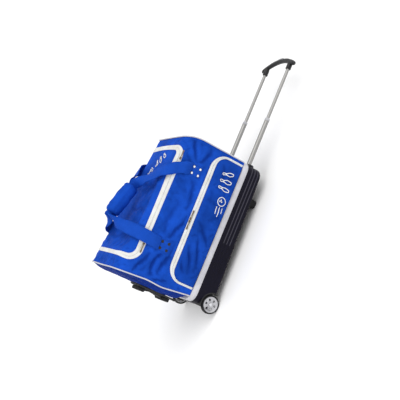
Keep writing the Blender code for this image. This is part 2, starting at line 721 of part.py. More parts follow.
# ---------------------------------------------------------------- carry loops
def strap_path():
    """Centre line, width direction and half width along one near loop, anchor to anchor."""
    start = LOOP_HINGE_Z + 0.0030
    across = Vector((1, 0, 0))
    half = STRAP_W / 2
    grip_low, grip_high = GRIP_AXIS[1], GRIP_AXIS[0]
    inner = Vector((0, -0.0065, 0))
    upright = Vector((0.27, 0, 0.96))
    return [
        (Vector((0.152, -LOOP_HINGE_Y, start)), across, half),
        (Vector((0.146, -0.1420, 0.334)), across, half),
        (Vector((0.132, -0.1450, 0.358)), across, half),
        (Vector((0.121, -0.1435, 0.376)), across, half),
        (Vector((0.111, -0.1330, 0.391)), Vector((0.95, 0.25, 0.05)), half),
        (Vector((0.099, -0.1150, 0.402)), Vector((0.85, 0.50, 0.0)), half),
        (Vector((0.080, -0.0920, 0.411)), Vector((0.80, 0.60, -0.05)), half * 0.97),
        (Vector((0.062, -0.0640, 0.421)), Vector((0.75, 0.62, -0.1)), half * 0.88),
        (Vector((0.046, -0.0330, 0.430)), Vector((0.62, 0.5, 0.3)), half * 0.66),
        (grip_low + Vector((0.010, 0, -0.002)) + inner, upright, half * 0.36),
        (grip_low * 0.8 + grip_high * 0.2 + inner, upright, half * 0.36),
        (grip_low * 0.2 + grip_high * 0.8 + inner, upright, half * 0.36),
        (grip_high + Vector((-0.010, 0, 0.002)) + inner, upright, half * 0.36),
        (Vector((-0.1170, -0.0330, 0.458)), Vector((0.70, -0.5, 0.3)), half * 0.66),
        (Vector((-0.1220, -0.0650, 0.444)), Vector((0.92, -0.30, -0.1)), half * 0.88),
        (Vector((-0.1240, -0.1000, 0.430)), Vector((0.97, -0.1, -0.05)), half * 0.97),
        (Vector((-0.1270, -0.1260, 0.416)), across, half),
        (Vector((-0.1285, -0.1405, 0.396)), across, half),
        (Vector((-0.1295, -0.1450, 0.374)), across, half),
        (Vector((-0.1300, -0.1445, 0.352)), across, half),
        (Vector((-0.1320, -0.1420, 0.332)), across, half),
        (Vector((-0.134, -LOOP_HINGE_Y, start)), across, half),
    ]


def carry_loop(side_name, side):
    """Strap loop with half of the padded grip, turning about the top edge of its anchors."""
    swing = empty("loop_pivot_" + side_name, (0, side * LOOP_HINGE_Y, LOOP_HINGE_Z), BAG)
    bm = bmesh.new()
    rows = []
    for centre, width, half in strap_path():
        width = width.normalized() * half
        rows.append([bm.verts.new(mirrored(p, -side)) for p in (centre - width, centre, centre + width)])
    for low, high in zip(rows, rows[1:]):
        for i in range(2):
            bm.faces.new((low[i], low[i + 1], high[i + 1], high[i]))
    strap = place(side_name + "_strap", bm, "fabric", swing)
    thick = strap.modifiers.new("webbing", "SOLIDIFY")
    thick.thickness = STRAP_T
    thick.offset = 0.0

    low, high = GRIP_AXIS[1], GRIP_AXIS[0]
    along = (high - low).normalized()
    up = along.cross(Vector((0, 1, 0)))
    out = Vector((0, side, 0))
    length = (high - low).length
    bm = bmesh.new()
    rings = []
    half_turn = [math.pi * k / 12 - math.pi / 2 for k in range(13)]
    oval = [up * math.sin(a) * GRIP_TALL + out * math.cos(a) * GRIP_WIDE for a in half_turn]
    ends = ((0.0, GRIP_END_SIZE), (GRIP_END, 1.0), (length - GRIP_END, 1.0), (length, GRIP_END_SIZE))
    for place_along, size in ends:
        centre = low + along * place_along + out * GRIP_SPLIT
        rings.append([centre + p * size for p in oval])
    loft(bm, rings)
    half_grip = place(side_name + "_grip_half", bm, "fabric", swing)
    bm = bmesh.new()
    inside = -0.02
    corners = [(-GRIP_SLOT_H, inside), (GRIP_SLOT_H, inside),
               (GRIP_SLOT_H, GRIP_SLOT_D), (-GRIP_SLOT_H, GRIP_SLOT_D)]
    rings = []
    for end in (low - along * 0.02, high + along * 0.02):
        rings.append([end + up * a + out * b for a, b in corners])
    loft(bm, rings)
    boolean(half_grip, "DIFFERENCE", place("grip_channel_" + side_name, bm))


def strap_anchor(name, x, side):
    """Reinforcing patch with four rivet heads where a strap is fixed to the body."""
    back = side * (BODY_HALF_W + GAP)
    front = side * (BODY_HALF_W + 0.0032)
    bm = bmesh.new()
    low, high = min(back, front), max(back, front)
    box(bm, (x - STRAP_W / 2, low, ANCHOR_Z - 0.021), (x + STRAP_W / 2, high, ANCHOR_Z + 0.0185))
    patch = place(name, bm, "fabric")
    bm = bmesh.new()
    for column in (-1, 1):
        for row in (-1, 1):
            rivet_x = x + column * RIVET_SPACING[0]
            rivet_z = ANCHOR_Z + row * RIVET_SPACING[1]
            cylinder(bm, (rivet_x, back + side * 0.001, rivet_z),
                     (rivet_x, front + side * 0.0014, rivet_z), RIVET_R, 10, RIVET_R * 0.8)
    boolean(patch, "UNION", place(name + "_rivets", bm))


# ---------------------------------------------------------------- assembly
base_tray()
ball_cup("ball_cup_wheel_side", -BALL_X)
ball_cup("ball_cup_handle_side", BALL_X)
rim_band()
base_feet()
stand()
for wheel_name, wheel_side in SIDES:
    wheel(wheel_name, wheel_side)
handle()
fabric_upper()
piping("piping_wheel_end", 0.0)
piping("piping_handle_end", 1.0)
pocket()
LID_TAPE_FACE = -BODY_HALF_W - TAPE_T - 3 * GAP
POCKET_TAPE_FACE = -BODY_HALF_W - TAPE_T - 4 * GAP
slider("lid_handle_end", 0.168, LID_EDGE_Z - 0.0052, LID_TAPE_FACE, 1)
slider("lid_wheel_end", -0.158, LID_EDGE_Z - 0.0052, LID_TAPE_FACE, -1)
slider("pocket_handle_side", -0.008, POCKET_TOP_Z + 0.0050, POCKET_TAPE_FACE, 1)
slider("pocket_wheel_side", -0.018, POCKET_TOP_Z + 0.0050, POCKET_TAPE_FACE, -1)
for loop_name, loop_side in SIDES:
    carry_loop(loop_name, loop_side)
    strap_anchor("strap_anchor_" + loop_name + "_handle_end", ANCHOR_HANDLE_X, loop_side)
    strap_anchor("strap_anchor_" + loop_name + "_wheel_end", ANCHOR_WHEEL_X, loop_side)

# The origin goes under the middle of the whole object's box.
bpy.context.view_layer.update()
graph = bpy.context.evaluated_depsgraph_get()
points = []
for piece in PARTS.objects:
    shown = piece.evaluated_get(graph)
    points += [shown.matrix_world @ v.co for v in shown.to_mesh().vertices]
BAG.location.x = -(min(p.x for p in points) + max(p.x for p in points)) / 2
BAG.location.y = -(min(p.y for p in points) + max(p.y for p in points)) / 2
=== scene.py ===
"""Looks of the two-ball roller bowling bag: fabric, webbing, zips, moulded tray, wheels and trolley handle.

Lengths are metres. Shapes are laid out in the bag's own frame (X = Y = 0 at the tray's centre, Z = 0 on
the floor, +X to the trolley handle, -Y to the pocket side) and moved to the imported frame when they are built.
"""
import math

import bmesh
import bpy
import numpy as np
from mathutils import Matrix, Vector
from mathutils.bvhtree import BVHTree


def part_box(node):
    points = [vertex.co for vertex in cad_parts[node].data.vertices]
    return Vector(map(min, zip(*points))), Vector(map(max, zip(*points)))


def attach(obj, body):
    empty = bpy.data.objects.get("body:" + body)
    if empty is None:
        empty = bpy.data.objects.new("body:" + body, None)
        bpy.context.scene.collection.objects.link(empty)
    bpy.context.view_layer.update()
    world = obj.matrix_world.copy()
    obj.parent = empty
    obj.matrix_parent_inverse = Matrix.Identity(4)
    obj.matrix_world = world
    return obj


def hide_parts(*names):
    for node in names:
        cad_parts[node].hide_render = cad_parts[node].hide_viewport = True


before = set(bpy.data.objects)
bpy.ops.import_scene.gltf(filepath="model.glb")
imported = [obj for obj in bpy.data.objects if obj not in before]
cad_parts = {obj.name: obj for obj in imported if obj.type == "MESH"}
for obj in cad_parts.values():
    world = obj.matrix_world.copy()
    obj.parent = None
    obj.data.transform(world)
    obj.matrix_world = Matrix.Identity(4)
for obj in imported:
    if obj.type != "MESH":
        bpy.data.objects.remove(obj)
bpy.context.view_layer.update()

# ---------------------------------------------------------------- measures read from the frame
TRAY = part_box("base_tray")
ORIGIN = Vector(((TRAY[0].x + TRAY[1].x) / 2, (TRAY[0].y + TRAY[1].y) / 2, 0.0))


def bag_box(node):
    """A node's lowest and highest corner in the bag's own frame."""
    low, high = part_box(node)
    return low - ORIGIN, high - ORIGIN


tray_low, tray_high = bag_box("base_tray")
band_low, band_high = bag_box("rim_band")
body_low, body_high = bag_box("bag_body")
lid_low, lid_high = bag_box("lid_panel")
grip_low, grip_high = bag_box("handle_grip")
stage_low, stage_high = bag_box("stage_tube_near")
upper_low, upper_high = bag_box("upper_tube_near")
tyre_low, tyre_high = bag_box("tyre_near")
hub_low, hub_high = bag_box("hub_near")
panel_low, panel_high = bag_box("pocket_panel")
pocket_tape_low, pocket_tape_high = bag_box("pocket_tape_body_side")
plate_low, plate_high = bag_box("stand_plate")

HALF_W = body_high.y                        # fabric upper
BODY_BOTTOM = body_low.z
SHOULDER_R = 0.030
LID_FALL = -0.1015                          # the crown line drops towards the handle end
CROWN_Z = lid_high.z + LID_FALL * -lid_low.x
CROWN_SWELL = 0.006
SIDE_SWELL = 0.003
SWELL_FROM = 0.50                           # the side swells only above the pocket
LID_EDGE_Z = lid_low.z - 0.0006             # centre line of the lid's zip
LID_WHEEL_X = lid_low.x - 0.0006
LID_HANDLE_X = 0.217
LID_CORNER_R = 0.040
LID_HINGE_Y = lid_high.y + 0.0006
TAPE_W = 0.0130                             # half of the lid's zip tape along its near side
TAPE_CROSS_SHARE = 0.58                     # and its share of that on the cross runs
POCKET_TAPE_W = 0.0104
POCKET_CORNER_R = 0.048
POCKET_END_SHARE = 0.38                     # the pocket's tape is narrower down its two ends
POCKET_TOP = 0.2315
POCKET_X = (-0.2295, 0.2485)
POCKET_BOTTOM = panel_low.z
STRAP_W = 0.046
ANCHOR_Z = 0.287
ANCHORS = {"handle_end": 0.152, "wheel_end": -0.134}
GRIP_AXIS = (Vector((-0.0935, 0.0, 0.4683)), Vector((0.025, 0.0, 0.4355)))
GRIP_TALL = 0.0275
GRIP_WIDE = 0.0225
TUBE_Y = abs(stage_high.y + stage_low.y) / 2
TUBE_Z = (stage_low.z + stage_high.z) / 2
SIDES = (("near", -1), ("far", 1))


# ---------------------------------------------------------------- building shapes
def rounded(points, radii, steps=6, closed=True):
    """An outline with arcs in place of its corners; a radius of zero leaves a corner sharp."""
    out = []
    count = len(points)
    for i, (point, radius) in enumerate(zip(points, radii)):
        point = Vector(point)
        if radius == 0 or (not closed and i in (0, count - 1)):
            out.append(point)
            continue
        back = (Vector(points[i - 1]) - point).normalized()
        ahead = (Vector(points[(i + 1) % count]) - point).normalized()
        half = back.angle(ahead) / 2
        centre = point + (back + ahead).normalized() * (radius / math.sin(half))
        first = point + back * (radius / math.tan(half)) - centre
        last = point + ahead * (radius / math.tan(half)) - centre
        out += [centre + first.slerp(last, k / steps).normalized() * radius for k in range(steps + 1)]
    return out


def resample(points, count):
    """Points at equal steps along a polyline."""
    pts = np.array([tuple(p) for p in points], float)
    run = np.concatenate([[0], np.cumsum(np.linalg.norm(np.diff(pts, axis=0), axis=1))])
    at = np.linspace(0, run[-1], count)
    return np.stack([np.interp(at, run, pts[:, k]) for k in range(pts.shape[1])], axis=1)


def smooth_path(points, count):
    """A Catmull-Rom curve through the points, sampled at equal steps."""
    pts = [np.array(tuple(p), float) for p in points]
    pts = [2 * pts[0] - pts[1]] + pts + [2 * pts[-1] - pts[-2]]
    fine = []
    for a, b, c, d in zip(pts, pts[1:], pts[2:], pts[3:]):
        for k in range(12):
            t = k / 12
            fine.append(0.5 * (2 * b + (c - a) * t + (2 * a - 5 * b + 4 * c - d) * t * t
                               + (3 * b - a - 3 * c + d) * t ** 3))
    fine.append(pts[-2])
    return resample(fine, count)


class Shape:
    """Collects surfaces in the bag frame, then makes them one object on a CAD body."""

    def __init__(self):
        self.verts = []
        self.faces = []
        self.slots = []
        self.uvs = []

    def add(self, verts, faces, slot=0, uvs=None):
        start = len(self.verts)
        self.verts += [tuple(v) for v in verts]
        self.faces += [tuple(start + i for i in f) for f in faces]
        self.slots += [slot] * len(faces)
        self.uvs += list(uvs) if uvs is not None else [(v[0] + v[1], v[2] + v[1] * 0.3) for v in verts]
        return self

    def grid(self, rows, slot=0, wrap=False, uvs=None):
        """Skin rows of points; wrap closes each row into a ring."""
        rows = [list(map(tuple, row)) for row in rows]
        n = len(rows[0])
        faces = []
        for r in range(len(rows) - 1):
            for i in range(n if wrap else n - 1):
                j = (i + 1) % n
                faces.append((r * n + i, r * n + j, (r + 1) * n + j, (r + 1) * n + i))
        return self.add([p for row in rows for p in row], faces, slot, uvs)

    def closed_loft(self, rings, slot=0):
        """Skin rings and cap both ends."""
        rings = [list(map(tuple, ring)) for ring in rings]
        n = len(rings[0])
        self.grid(rings, slot, wrap=True)
        last = len(self.verts) - n
        first = len(self.verts) - n * len(rings)
        self.faces += [tuple(range(first + n - 1, first - 1, -1)), tuple(range(last, last + n))]
        self.slots += [slot, slot]
        return self

    def tube(self, path, radius, sides=8, slot=0, closed=False, flat=1.0):
        """A round or flattened cord along a path; radius may be a list."""
        pts = [Vector(tuple(p)) for p in path]
        count = len(pts)
        radii = radius if hasattr(radius, "__len__") else [radius] * count
        rings = []
        up = None
        for i, p in enumerate(pts):
            ahead = pts[(i + 1) % count] if closed or i < count - 1 else p
            behind = pts[i - 1] if closed or i > 0 else p
            along = (ahead - behind).normalized()
            if up is None:
                up = along.orthogonal().normalized()
            up = (up - along * up.dot(along)).normalized()
            side = along.cross(up)
            rings.append([p + (up * math.cos(a) * flat + side * math.sin(a)) * radii[i]
                          for a in (math.tau * k / sides for k in range(sides))])
        if closed:
            return self.grid(rings + [rings[0]], slot, wrap=True)
        return self.closed_loft(rings, slot)

    def lathe(self, profile, centre, axis, sides=48, slot=0, closed=False):
        """Turn (radius, height) points round an axis; a closed profile makes a ring."""
        axis = Vector(axis).normalized()
        a = axis.orthogonal().normalized()
        b = axis.cross(a)
        centre = Vector(centre)
        rings = []
        for radius, height in profile:
            rings.append([centre + axis * height + (a * math.cos(w) + b * math.sin(w)) * max(radius, 0.0)
                          for w in (math.tau * k / sides for k in range(sides))])
        if closed:
            return self.grid(rings + [rings[0]], slot, wrap=True)
        return self.closed_loft(rings, slot)

    def block(self, low, high, bevel=0.001, slot=0, segments=2, turn=None):
        """A box with rounded edges, which turn may rotate about its middle."""
        low, high = Vector(low), Vector(high)
        bm = bmesh.new()
        bmesh.ops.create_cube(bm, size=1.0, matrix=Matrix.Diagonal((*(high - low), 1.0)))
        bmesh.ops.bevel(bm, geom=bm.edges[:], offset=bevel, segments=segments, affect="EDGES", profile=0.5)
        matrix = Matrix.Translation((low + high) / 2) @ (turn.to_4x4() if turn else Matrix.Identity(4))
        bm.verts.index_update()
        verts = [matrix @ v.co for v in bm.verts]
        faces = [[v.index for v in f.verts] for f in bm.faces]
        bm.free()
        return self.add(verts, faces, slot)

    def build(self, name, materials, body, replaces=(), slot=None, sheet=False, levels=0, thick=0.0,
              rim_slot=None, sharp=38, values=None):
        """Make the object; thick and levels leave Solidify and Subdivision modifiers on a sheet."""
        mesh = bpy.data.meshes.new(name)
        verts = [Vector(v) + ORIGIN for v in self.verts]
        mesh.from_pydata([tuple(v) for v in verts], [], self.faces)
        mesh.polygons.foreach_set("material_index", self.slots)
        layer = mesh.uv_layers.new(name="weave")
        for loop in mesh.loops:
            layer.data[loop.index].uv = self.uvs[loop.vertex_index]
        # values: the mask for painted shade in the fold valleys, stored as the valley attribute.
        if values is not None:
            valley = mesh.attributes.new("valley", "FLOAT", "POINT")
            valley.data.foreach_set("value", np.asarray(values, np.float32))
        bm = bmesh.new()
        bm.from_mesh(mesh)
        if not sheet:
            bmesh.ops.remove_doubles(bm, verts=bm.verts, dist=0.000002)
            bmesh.ops.recalc_face_normals(bm, faces=bm.faces)
        bm.to_mesh(mesh)
        bm.free()
        obj = bpy.data.objects.new(name, mesh)
        bpy.context.scene.collection.objects.link(obj)
        for mat in materials:
            mesh.materials.append(mat)
        mesh.shade_smooth()
        if not sheet:
            mesh.set_sharp_from_angle(angle=math.radians(sharp))
        if levels:
            smooth = obj.modifiers.new("smooth", "SUBSURF")
            smooth.levels = levels
            smooth.render_levels = levels
        if thick:
            solid = obj.modifiers.new("cloth_thickness", "SOLIDIFY")
            solid.thickness = abs(thick)
            solid.offset = -1.0 if thick > 0 else 1.0
            solid.material_offset = 1 if len(materials) > 1 else 0
            solid.material_offset_rim = 0
        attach(obj, body)
        if replaces:
            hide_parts(*([replaces] if isinstance(replaces, str) else replaces))
        return obj


# ---------------------------------------------------------------- materials
class Look:
    """A Principled material whose colour and bump come from small procedural patterns."""

    def __init__(self, name, color, roughness, metallic=0.0, sheen=0.0, coat=0.0, specular=0.5):
        self.mat = bpy.data.materials.new(name)
        self.mat.use_nodes = True
        self.tree = self.mat.node_tree
        self.shader = self.tree.nodes["Principled BSDF"]
        self.color = color
        self.shader.inputs["Base Color"].default_value = (*color, 1.0)
        self.shader.inputs["Roughness"].default_value = roughness
        self.shader.inputs["Metallic"].default_value = metallic
        self.shader.inputs["Sheen Weight"].default_value = sheen
        self.shader.inputs["Sheen Roughness"].default_value = 0.4
        self.shader.inputs["Coat Weight"].default_value = coat
        self.shader.inputs["Specular IOR Level"].default_value = specular
        self.height = None

    def node(self, kind, **inputs):
        made = self.tree.nodes.new(kind)
        for key, value in inputs.items():
            made.inputs[key.replace("_", " ")].default_value = value
        return made

    def link(self, a, b):
        self.tree.links.new(a, b)

    def space(self, scale, kind="Object"):
        """Coordinates in metres of the piece, or its woven UVs, times a scale."""
        coord = self.node("ShaderNodeTexCoord")
        scaled = self.node("ShaderNodeMapping")
        scaled.inputs["Scale"].default_value = scale if hasattr(scale, "__len__") else (scale,) * 3
        self.link(coord.outputs[kind], scaled.inputs["Vector"])
        return scaled.outputs["Vector"]

    def noise(self, scale, detail=4.0, rough=0.55, kind="Object"):
        tex = self.node("ShaderNodeTexNoise", Scale=1.0, Detail=detail, Roughness=rough)
        self.link(self.space(scale, kind), tex.inputs["Vector"])
        return tex.outputs["Fac"]

    def wave(self, scale, direction, kind="UV", distortion=0.0):
        tex = self.node("ShaderNodeTexWave", Scale=1.0, Distortion=distortion)
        tex.bands_direction = direction
        self.link(self.space(scale, kind), tex.inputs["Vector"])
        return tex.outputs["Fac"]

    def math(self, operation, a, b):
        made = self.node("ShaderNodeMath")
        made.operation = operation
        for socket, value in zip(made.inputs, (a, b)):
            if isinstance(value, (int, float)):
                socket.default_value = value
            else:
                self.link(value, socket)
        return made.outputs[0]

    def ramp(self, value, low, high, low_color, high_color):
        """Colour between two values of a pattern."""
        made = self.node("ShaderNodeValToRGB")
        made.color_ramp.elements[0].position = low
        made.color_ramp.elements[1].position = high
        made.color_ramp.elements[0].color = (*low_color, 1.0)
        made.color_ramp.elements[1].color = (*high_color, 1.0)
        self.link(value, made.inputs["Fac"])
        return made.outputs["Color"]

    def mix(self, fac, a, b, mode="MIX"):
        made = self.node("ShaderNodeMix")
        made.data_type = "RGBA"
        made.blend_type = mode
        if isinstance(fac, (int, float)):
            made.inputs[0].default_value = fac
        else:
            self.link(fac, made.inputs[0])
        for socket, value in ((made.inputs[6], a), (made.inputs[7], b)):
            if isinstance(value, tuple):
                socket.default_value = (*value, 1.0)
            else:
                self.link(value, socket)
        return made.outputs[2]

    def paint(self, color):
        self.link(color, self.shader.inputs["Base Color"])

    def rough(self, value, low, high):
        """Roughness that follows a pattern."""
        span = self.node("ShaderNodeMapRange")
        span.inputs["To Min"].default_value = low
        span.inputs["To Max"].default_value = high
        self.link(value, span.inputs["Value"])
        self.link(span.outputs["Result"], self.shader.inputs["Roughness"])

    def bump(self, value, distance, strength=1.0):
        """Stack one more layer of relief; distance is its height in metres."""
        made = self.node("ShaderNodeBump", Strength=strength, Distance=distance)
        self.link(value, made.inputs["Height"])
        if self.height is not None:
            self.link(self.height, made.inputs["Normal"])
        self.height = made.outputs["Normal"]
        self.link(self.height, self.shader.inputs["Normal"])


# How far painted shade in the fold valleys darkens the fabric towards its shade colour.
FOLD_SHADE = 0.80


def tinted(color, factor):
    return tuple(min(1.0, c * factor) for c in color)


def woven_fabric(name, color, fold_shade_color, thread=0.0011, sheen=0.0, roughness=0.62):
    """Plain-woven polyester: crossed threads, soft creases, and painted shade that darkens the fold valleys."""
    look = Look(name, color, roughness, sheen=sheen, specular=0.02)
    turns = 1.0 / thread
    warp = look.wave((turns, turns, turns), "X")
    weft = look.wave((turns, turns, turns), "Y")
    weave = look.math("MAXIMUM", warp, weft)
    cloudy = look.noise(14.0, 5.0)
    creases = look.noise((38.0, 38.0, 38.0), 6.0, 0.62)
    tone = look.ramp(cloudy, 0.32, 0.70, tinted(color, 0.74), tinted(color, 1.20))
    tone = look.mix(look.math("MULTIPLY", weave, 0.10), tone, tinted(color, 0.70))
    # Painted shade: the valley mask mixes the fabric towards its shade colour in the fold valleys.
    attribute = look.node("ShaderNodeAttribute")
    attribute.attribute_name = "valley"
    tone = look.mix(look.math("MULTIPLY", attribute.outputs["Fac"], FOLD_SHADE), tone, fold_shade_color)
    look.paint(tone)
    look.rough(cloudy, roughness - 0.06, roughness + 0.10)
    look.bump(creases, 0.0008, 0.25)
    look.bump(weave, 0.00025, 0.45)
    return look.mat


def webbing(name, color):
    """Heavy ribbed strap weave."""
    look = Look(name, color, 0.62, specular=0.03)
    ribs = look.wave((0.0, 520.0, 1.0), "Y")
    picks = look.wave((420.0, 0.0, 1.0), "X")
    weave = look.math("MAXIMUM", ribs, picks)
    cloudy = look.noise(30.0, 4.0)
    tone = look.ramp(cloudy, 0.3, 0.7, tinted(color, 0.88), tinted(color, 1.08))
    tone = look.mix(look.math("MULTIPLY", weave, 0.16), tone, tinted(color, 0.62))
    look.paint(tone)
    look.bump(weave, 0.0003, 0.5)
    look.bump(look.noise(60.0, 3.0), 0.0006, 0.3)
    return look.mat


def trim_fabric(name, color, grime):
    """White tape or welt, finely ribbed and faintly soiled."""
    look = Look(name, color, 0.6, sheen=0.15, specular=0.35)
    ribs = look.wave((0.0, 900.0, 1.0), "Y")
    picks = look.wave((700.0, 0.0, 1.0), "X")
    weave = look.math("MULTIPLY", ribs, picks)
    spots = look.noise(22.0, 5.0)
    tone = look.ramp(spots, 0.34, 0.62, grime, color)
    look.paint(look.mix(look.math("MULTIPLY", weave, 0.12), tone, tinted(color, 0.8)))
    look.bump(weave, 0.0002, 0.4)
    look.bump(look.noise(45.0, 3.0), 0.0006, 0.25)
    return look.mat


def moulded(name, color, roughness, grain=900.0, depth=0.00012, worn=1.6, coat=0.0, specular=0.4):
    """Moulded plastic with a fine grain and faint scuffs."""
    look = Look(name, color, roughness, coat=coat, specular=specular)
    scuffs = look.noise((35.0, 35.0, 90.0), 8.0, 0.7)
    tone = look.ramp(scuffs, 0.45, 0.75, color, tinted(color, worn))
    look.paint(tone)
    look.rough(scuffs, roughness - 0.05, roughness + 0.14)
    look.bump(look.noise(grain, 3.0), depth, 0.5)
    return look.mat


def metal(name, color, roughness, along="X", stretch=(6.0, 900.0, 900.0)):
    """Drawn or brushed metal, streaked along its length."""
    look = Look(name, color, roughness, metallic=1.0)
    streaks = look.noise(stretch, 4.0, 0.6)
    look.paint(look.ramp(streaks, 0.3, 0.7, tinted(color, 0.88), tinted(color, 1.05)))
    look.rough(streaks, roughness - 0.06, roughness + 0.12)
    look.bump(streaks, 0.00004, 0.4)
    return look.mat


def rubber(name, color):
    look = Look(name, color, 0.75, specular=0.3)
    dust = look.noise(60.0, 6.0, 0.65)
    look.paint(look.ramp(dust, 0.42, 0.72, color, tinted(color, 2.0)))
    look.rough(dust, 0.62, 0.88)
    look.bump(look.noise(700.0, 2.0), 0.00015, 0.5)
    return look.mat


def foam(name, color):
    look = Look(name, color, 0.92, specular=0.2)
    cells = look.node("ShaderNodeTexVoronoi", Scale=1.0)
    look.link(look.space(420.0), cells.inputs["Vector"])
    look.paint(look.ramp(cells.outputs["Distance"], 0.1, 0.7, tinted(color, 0.8), tinted(color, 1.25)))
    look.bump(cells.outputs["Distance"], 0.0004, 0.5)
    return look.mat


BLUE = (0.0085, 0.068, 0.455)
FABRIC = woven_fabric("upper_fabric", BLUE, (0.003, 0.022, 0.190))
# Painted shade: the pocket takes a darker copy of the upper's blue.
POCKET_SHADED_FABRIC = woven_fabric("pocket_cloth_shaded", tinted(BLUE, 0.80), (0.002, 0.015, 0.140))
# Darker navy for both end panels: partly the panels' own darker cloth, partly painted shade, since the wheel-end panel
# faces away from the key lamp.
END_NAVY_AND_SHADE = woven_fabric("end_panel_navy_and_shade", (0.0045, 0.026, 0.215), (0.002, 0.008, 0.080))
LINING = woven_fabric("lining_fabric", (0.035, 0.036, 0.042), (0.01, 0.01, 0.012), 0.0016, 0.05, 0.75)
STRAP = webbing("strap_webbing", (0.0090, 0.068, 0.440))
TAPE = trim_fabric("zip_tape", (0.74, 0.75, 0.75), (0.64, 0.63, 0.58))
WELT = trim_fabric("white_welt", (0.57, 0.565, 0.60), (0.47, 0.465, 0.50))
THREAD = trim_fabric("white_thread", (0.78, 0.79, 0.80), (0.70, 0.70, 0.70))
BLUE_THREAD = webbing("blue_thread", (0.008, 0.055, 0.38))
TRAY_PLASTIC = moulded("tray_plastic", (0.0024, 0.0018, 0.0080), 0.48, worn=1.6, specular=0.14)
# Painted highlight: a lighter plastic for the lower slopes of the tray's grooves.
GROOVE_HIGHLIGHT_PLASTIC = moulded("groove_painted_highlight", (0.032, 0.030, 0.047), 0.35, worn=1.2, specular=0.3)
BLACK_PLASTIC = moulded("black_plastic", (0.006, 0.006, 0.007), 0.42)
HUB_PLASTIC = moulded("hub_plastic", (0.44, 0.44, 0.46), 0.35, 700.0, 0.00006, 1.06)
RIVET_LIGHT = moulded("white_rivet", (0.80, 0.81, 0.83), 0.25, coat=0.3, worn=1.0)
RUBBER = rubber("black_rubber", (0.010, 0.010, 0.011))
ALUMINIUM = metal("drawn_aluminium", (0.33, 0.325, 0.315), 0.32)
STEEL = metal("bright_steel", (0.72, 0.72, 0.74), 0.28, stretch=(300.0, 300.0, 300.0))
BRONZE = metal("dark_bronze", (0.22, 0.160, 0.110), 0.38, stretch=(400.0, 400.0, 400.0))
FOAM = foam("cup_foam", (0.045, 0.045, 0.05))


# ---------------------------------------------------------------- the upper's surface
T_WALL, T_ARC = 0.30, 0.08
T_TOP = 1.0 - 2 * (T_WALL + T_ARC)
END_LEAN = 0.060
END_WHEEL_X = -0.2585
END_HANDLE_X = 0.2650
HANDLE_DRAW_IN = 0.018


SAG_Z = np.linspace(0.04, 0.52, 97)
SAG_SHAPE = np.interp(SAG_Z, (0.123, 0.180, 0.240, 0.300, 0.400), (0.003, 0.0, -0.003, 0.006, 0.005))
SAG_X = np.convolve(np.pad(SAG_SHAPE, 6, mode="edge"), np.hanning(13) / np.hanning(13).sum(), "valid")


def wheel_end_x(z):
    """The wheel end's sewn edge leans out as it rises, and sags between its stiffer places."""
    return END_WHEEL_X - END_LEAN * (z - BODY_BOTTOM) + np.interp(z, SAG_Z, SAG_X)


def handle_end_x(z):
    draw = np.maximum(0.0, (z - 0.300) / 0.075)
    return END_HANDLE_X - HANDLE_DRAW_IN * draw * draw


def crown_z(x):
    return CROWN_Z + LID_FALL * x


def upper_points(s, t, swell=1.0):
    """Points of the upper: s runs from the wheel end (0) to the handle end (1), t round it from the
    near hem (0) over the lid to the far hem (1)."""
    s, t = np.broadcast_arrays(np.asarray(s, float), np.asarray(t, float))
    side = np.where(t > 0.5, 1.0, -1.0)
    q = np.minimum(t, 1 - t)
    x_mid = wheel_end_x(0.40) * (1 - s) + handle_end_x(0.36) * s
    top = crown_z(x_mid)
    flat = HALF_W - SHOULDER_R
    rise = np.clip(q / T_WALL, 0, 1)
    angle = np.clip((q - T_WALL) / T_ARC, 0, 1) * (math.pi / 2)
    across = np.clip((q - T_WALL - T_ARC) / (T_TOP / 2), 0, 1)
    z = BODY_BOTTOM + rise * (top - SHOULDER_R - BODY_BOTTOM) + np.sin(angle) * SHOULDER_R
    y = flat * (1 - across) + np.cos(angle) * SHOULDER_R
    middle = np.sin(np.clip(s, 0, 1) * math.pi) ** 0.6
    z = z + swell * CROWN_SWELL * middle * np.sin(across * math.pi / 2)
    above = np.clip((rise - SWELL_FROM) / (1 - SWELL_FROM), 0, 1)
    y = y + swell * SIDE_SWELL * middle * np.sin(above * math.pi) ** 2
    x = wheel_end_x(z) * (1 - s) + handle_end_x(z) * s
    return np.stack([x, y * side, z], axis=-1)


def upper_normals(s, t):
    """Outward normals of the upper."""
    step = 1e-4
    du = upper_points(s + step, t) - upper_points(s - step, t)
    dv = upper_points(s, t + step) - upper_points(s, t - step)
    n = np.cross(du, dv)
    n /= np.linalg.norm(n, axis=-1, keepdims=True)
    out = upper_points(s, t) - np.array([0.0, 0.0, 0.25])
    return np.where((n * out).sum(-1, keepdims=True) < 0, -n, n)


def zip_distance(x, z):
    """Signed distance from the lid zip's line: negative on the lid, positive on the body."""
    half = (LID_HANDLE_X - LID_WHEEL_X) / 2
    qx = np.abs(x - (LID_HANDLE_X + LID_WHEEL_X) / 2) - (half - LID_CORNER_R)
    qz = (LID_EDGE_Z + LID_CORNER_R) - z
    outside = np.hypot(np.maximum(qx, 0), np.maximum(qz, 0))
    return outside + np.minimum(np.maximum(qx, qz), 0) - LID_CORNER_R


WALL_RUN = 0.262
ARC_RUN = 0.047
TOP_RUN = 0.207
T_KNOTS = (0.0, T_WALL, T_WALL + T_ARC, T_WALL + T_ARC + T_TOP, 1 - T_WALL, 1.0)
RUN_KNOTS = tuple(np.cumsum([0, WALL_RUN, ARC_RUN, TOP_RUN, ARC_RUN, WALL_RUN]))
UPPER_RUN_X = 0.530
HINGE_ANGLE = math.asin((LID_HINGE_Y - (HALF_W - SHOULDER_R)) / SHOULDER_R)
T_HINGE = 1 - T_WALL - T_ARC + T_ARC * HINGE_ANGLE / (math.pi / 2)


